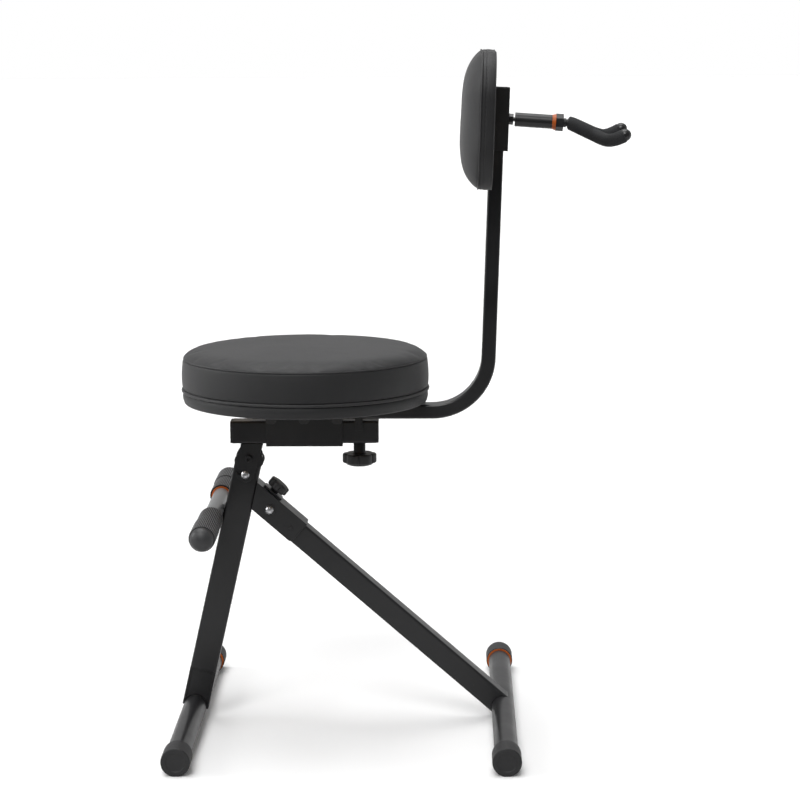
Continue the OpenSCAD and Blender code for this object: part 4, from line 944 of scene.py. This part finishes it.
def grip(side, axis_point):
    """One ribbed sleeve as rows (y, radius, share). Its ribs run lengthwise and sway:
    height = (0.5 + 0.5 cos(n a + sway sin(2 pi y / l)))^0.8, scaled by the row's
    share, which fades out at each segment's ends."""
    outer = REST_HALF - DOME_LEN
    inner = outer - GRIP_LEN
    half = outer - GRIP_LEN / 2
    high = GRIP_R - KNURL_H
    low = high - GRIP_STEP
    bore, seat = REST_TUBE_R + PLAY, inner + RING_SEAT
    rows = [(outer - 1 * MM, 0, 0), (outer, high - 3 * MM, 0), (outer, high - 0.2 * MM, 1)]
    rows += [(y, high, 1) for y in np.linspace(outer - 0.6 * MM, half + 1.4 * MM, 46)]
    rows += [(half + 0.5 * MM, high - 0.3 * MM, 0.3), (half, low - 0.3 * MM, 0),
             (half - 0.6 * MM, low - 0.2 * MM, 0.3)]
    rows += [(y, low, 1) for y in np.linspace(half - 1.4 * MM, inner + 1.2 * MM, 46)]
    rows += [(inner + 0.4 * MM, low + 0.3 * MM, 0.4), (inner, low + 0.1 * MM, 0),
             (inner, RING_BORE_R, 0), (seat, RING_BORE_R, 0), (seat, bore, 0),
             (inner + 4 * MM, bore, 0), (inner + 4 * MM, 0, 0)]
    angle = np.linspace(0, TURN, GRIP_RIBS * 6, endpoint=False)
    ring = np.stack([np.cos(angle), 0 * angle, np.sin(angle)], 1)
    grid = []
    for y, radius, share in rows:
        sway = GRIP_SWAY * math.sin(TURN * y / KNURL_LEN)
        rib = (0.5 + 0.5 * np.cos(GRIP_RIBS * angle + sway)) ** 0.8
        r = (radius + share * KNURL_H * rib)[:, None] if radius else 0
        grid.append(axis_point * (1, 0, 1) + r * ring + np.array([0, side * y, 0]))
    return skin("grip", np.array(grid))


def mark_ridges(grips, axis_point):
    """Stores how high each point stands on its rib, from the distance to the axis; the ribbed rubber's painted
    highlight and shade follow it.
    """
    points = np.empty(len(grips.data.vertices) * 3)
    grips.data.vertices.foreach_get("co", points)
    points = points.reshape(-1, 3) - axis_point
    from_axis = np.hypot(points[:, 0], points[:, 2])
    half = REST_HALF - DOME_LEN - GRIP_LEN / 2
    high = GRIP_R - KNURL_H
    floor_r = np.where(np.abs(points[:, 1]) > half, high, high - GRIP_STEP)
    ridge = grips.data.attributes.new("ridge", "FLOAT", "POINT")
    ridge.data.foreach_set("value", np.clip((from_axis - floor_r) / KNURL_H, 0, 1))


def dome_rows(radius, low, high):
    """Rows (r, h) of a dome over a circle, closed at its top."""
    rise = high - low
    rows = [(radius * math.cos(a), low + rise * math.sin(a)) for a in np.linspace(0, 1.5, 14)]
    return rows + [(0, high)]


def footrest_ends():
    axis_point = middle("footrest_tube")
    grips = joined("rest_grips", [grip(side, axis_point) for side in (-1, 1)])
    mark_ridges(grips, axis_point)
    finished(grips, "footrest", "grip_rubber", "footrest_grips", look="ribbed_rubber")
    r = GRIP_R - 2 * MM
    profile = [(0, 0), (r - 0.3 * MM, 0), (r, 0.4 * MM)] + dome_rows(r, 1.2 * MM, DOME_LEN)
    domes = []
    for side in (-1, 1):
        origin = axis_point * (1, 0, 1) + np.array([0, side * (REST_HALF - DOME_LEN), 0])
        domes.append(turned("dome", profile, origin, (0, side, 0)))
    finished(joined("rest_domes", domes), "footrest", "grip_rubber", "footrest_end_caps")


footrest_ends()


# Yoke: foam sleeves on a bent rod, with a rounded cap at each tip

NECK_END = 82.4 * MM
YOKE_LEN = 79 * MM
YOKE_HALF = 45 * MM
YOKE_DIP = 17 * MM
YOKE_TURN = math.radians(2.6)
FOAM_R = 9.25 * MM
FOAM_FROM = 0.035
FOAM_TO = 0.97
ROD_R = 4 * MM
TIP_R = 8.6 * MM
TIP_H = TIP_R * 1.05
# Along an arm: shares of the yoke's length, half width and dip
YOKE_SHARES = [
    (0, 0, 0), (0.05, 0.02, 0.02), (0.13, 0.11, 0.14), (0.29, 0.2, 0.43), (0.47, 0.29, 0.75),
    (0.63, 0.6, 0.98), (0.72, 0.8, 1), (0.82, 0.94, 0.87), (0.92, 1, 0.65), (1, 1, 0.41),
]


def yoke_point(local):
    """From the yoke's own axes (out, across, up) to the frame: turned about the
    hanger's axis by the yoke's rest turn."""
    u, v, w = axes(HANGER_OUT)
    up = -u
    turned_v = v * math.cos(YOKE_TURN) + up * math.sin(YOKE_TURN)
    turned_up = up * math.cos(YOKE_TURN) - v * math.sin(YOKE_TURN)
    local = np.asarray(local)
    return HANGER + local[..., :1] * w + local[..., 1:2] * turned_v + local[..., 2:3] * turned_up


def arm_route(side, count=120):
    shares = smooth_route(YOKE_SHARES, count)
    local = np.stack([NECK_END + YOKE_LEN * shares[:, 0], side * YOKE_HALF * shares[:, 1],
                      -YOKE_DIP * shares[:, 2]], 1)
    return yoke_point(local)


def sleeve_radius(count):
    """The sleeve's radius along its length: a round nose at the neck, a slight swell
    and a rim turned in where the tip closes it."""
    t = np.linspace(0, 1, count)
    nose = np.sqrt(1 - (1 - np.clip(t / 0.06, 0, 1)) ** 2 * 0.8)
    rim = 1 - 0.09 * np.clip((t - 0.985) / 0.015, 0, 1)
    return FOAM_R * nose * rim * (1 + 0.015 * np.sin(7 * t))


def yoke():
    sleeves, rods, tips = [], [], []
    for side in (-1, 1):
        route = arm_route(side)
        count = len(route)
        foam_route = route[round(count * FOAM_FROM):round(count * FOAM_TO)]
        sleeves.append(tube("sleeve", foam_route, sleeve_radius(len(foam_route)), sides=32))
        rods.append(tube("rod", route, ROD_R))
        # The tip is a rounded cap whose skirt closes the sleeve's end
        ahead = route[-1] - route[-12]
        ahead /= np.linalg.norm(ahead)
        skirt = [(0, -3 * MM), (TIP_R - 0.6 * MM, -3 * MM), (TIP_R, -2.2 * MM)]
        profile = skirt + dome_rows(TIP_R, 0, TIP_H)
        tips.append(turned("tip", profile, foam_route[-1] + ahead * 1.2 * MM, ahead, sides=48))
    finished(joined("yoke_sleeves", sleeves), "yoke", "yoke_sleeve", "yoke_foam")
    finished(joined("yoke_arms", rods), "yoke", "yoke_steel", "yoke_rod")
    finished(joined("yoke_end_caps", tips), "yoke", "plug_plastic", "yoke_tips", look="tip_plastic")


yoke()


# Floor, lights and camera

FLOOR_SIZE = 60
FLOOR_GLOW = 0.04
FLOOR_TONE = 0.9


def shade_floor():
    """A pale floor that ends in the dark in front. To camera rays it also glows, so
    that it is seen white up to the horizon and still shows the stool's shadow."""
    bpy.ops.mesh.primitive_plane_add(size=FLOOR_SIZE)
    floor = bpy.context.object
    floor.name = "floor"
    material = bpy.data.materials.new("floor")
    material.use_nodes = True
    tree = material.node_tree
    shader = tree.nodes["Principled BSDF"]
    shader.inputs["Roughness"].default_value = 0.8
    shader.inputs["Specular IOR Level"].default_value = 0.0
    shader.inputs["Emission Color"].default_value = (1, 1, 1, 1)
    path = tree.nodes.new("ShaderNodeLightPath")
    seen = path.outputs["Is Camera Ray"]
    tree.links.new(calc(tree, "MULTIPLY", seen, FLOOR_GLOW), shader.inputs["Emission Strength"])
    split = tree.nodes.new("ShaderNodeSeparateXYZ")
    tree.links.new(stretched(tree, (1, 1, 1)), split.inputs[0])
    shade = spread(tree, split.outputs["Y"], -2.4, -0.7, 0.04, 0.6)
    tone = tree.nodes.new("ShaderNodeMix")
    tone.data_type = "RGBA"
    tone.inputs["B"].default_value = (FLOOR_TONE, FLOOR_TONE, FLOOR_TONE, 1)
    tree.links.new(seen, tone.inputs["Factor"])
    tree.links.new(shade, tone.inputs["A"])
    tree.links.new(tone.outputs["Result"], shader.inputs["Base Color"])
    floor.data.materials.append(material)


def lamp(name, place, aim, size, power):
    light = bpy.data.lights.new(name, "AREA")
    light.shape = "RECTANGLE"
    light.size, light.size_y = size
    light.energy = power
    item = added(name, light)
    item.location = place
    item.rotation_euler = (Vector(aim) - Vector(place)).to_track_quat("-Z", "Y").to_euler()


def sun(name, aim, power, spread_deg):
    """An even light over the whole scene along one direction, softened by its spread."""
    light = bpy.data.lights.new(name, "SUN")
    light.energy = power
    light.angle = math.radians(spread_deg)
    item = added(name, light)
    item.rotation_euler = Vector(aim).to_track_quat("-Z", "Y").to_euler()


def sky():
    """White to the camera, grey in reflections of what lies behind the stool, dim on
    the camera's side, and a soft light elsewhere."""
    world = bpy.data.worlds.new("studio")
    scene.world = world
    world.use_nodes = True
    tree = world.node_tree
    back = tree.nodes["Background"]
    back.inputs["Color"].default_value = (1, 1, 1, 1)
    place = tree.nodes.new("ShaderNodeTexCoord")
    split = tree.nodes.new("ShaderNodeSeparateXYZ")
    tree.links.new(place.outputs["Generated"], split.inputs[0])
    path = tree.nodes.new("ShaderNodeLightPath")
    soft = spread(tree, split.outputs["Y"], -0.6, 0.6, 0.1, 0.45)
    mirrored = spread(tree, split.outputs["Y"], -0.5, 0.2, 0.12, 0.42)
    mirrored = calc(tree, "MULTIPLY", mirrored, path.outputs["Is Glossy Ray"])
    seen = calc(tree, "MAXIMUM", path.outputs["Is Camera Ray"], path.outputs["Is Transmission Ray"])
    strength = calc(tree, "MAXIMUM", calc(tree, "MAXIMUM", soft, mirrored), seen)
    tree.links.new(strength, back.inputs["Strength"])


LENS = 114.75
SENSOR_W = 36
CAMERA_FROM_SEAT = np.array([0.2051, -3.5893, 1.0317])
PITCH = 0.156058
YAW = -0.019733
ROLL_ANGLE = -0.005784


def camera():
    """A pinhole camera that looks along (sin yaw cos pitch, cos yaw cos pitch, -sin pitch)."""
    data = bpy.data.cameras.new("camera")
    data.lens = LENS
    data.sensor_width = SENSOR_W
    item = added("camera", data)
    level = math.cos(PITCH)
    ahead = np.array([math.sin(YAW) * level, math.cos(YAW) * level, -math.sin(PITCH)])
    right = np.array([math.cos(YAW), -math.sin(YAW), 0])
    up = np.cross(right, ahead)
    rolled_right = math.cos(ROLL_ANGLE) * right + math.sin(ROLL_ANGLE) * up
    rolled_up = math.cos(ROLL_ANGLE) * up - math.sin(ROLL_ANGLE) * right
    turn = Matrix((rolled_right, rolled_up, -ahead)).transposed().to_4x4()
    item.matrix_world = Matrix.Translation(SEAT_AXIS + CAMERA_FROM_SEAT) @ turn
    scene.camera = item


shade_floor()
sky()
sun("overhead", aim=(0.1, -0.2, -1), power=1.8, spread_deg=50)
sun("from_front", aim=(0.15, 0.7, -0.75), power=1.5, spread_deg=30)
sun("from_left", aim=(1, -0.1, -0.45), power=1.0, spread_deg=28)
lamp("left_softbox", place=(-2.4, -1.2, 1.2), aim=(0, 0, 0.5), size=(1.2, 1.8), power=8)
camera()

scene.view_settings.view_transform = "Standard"
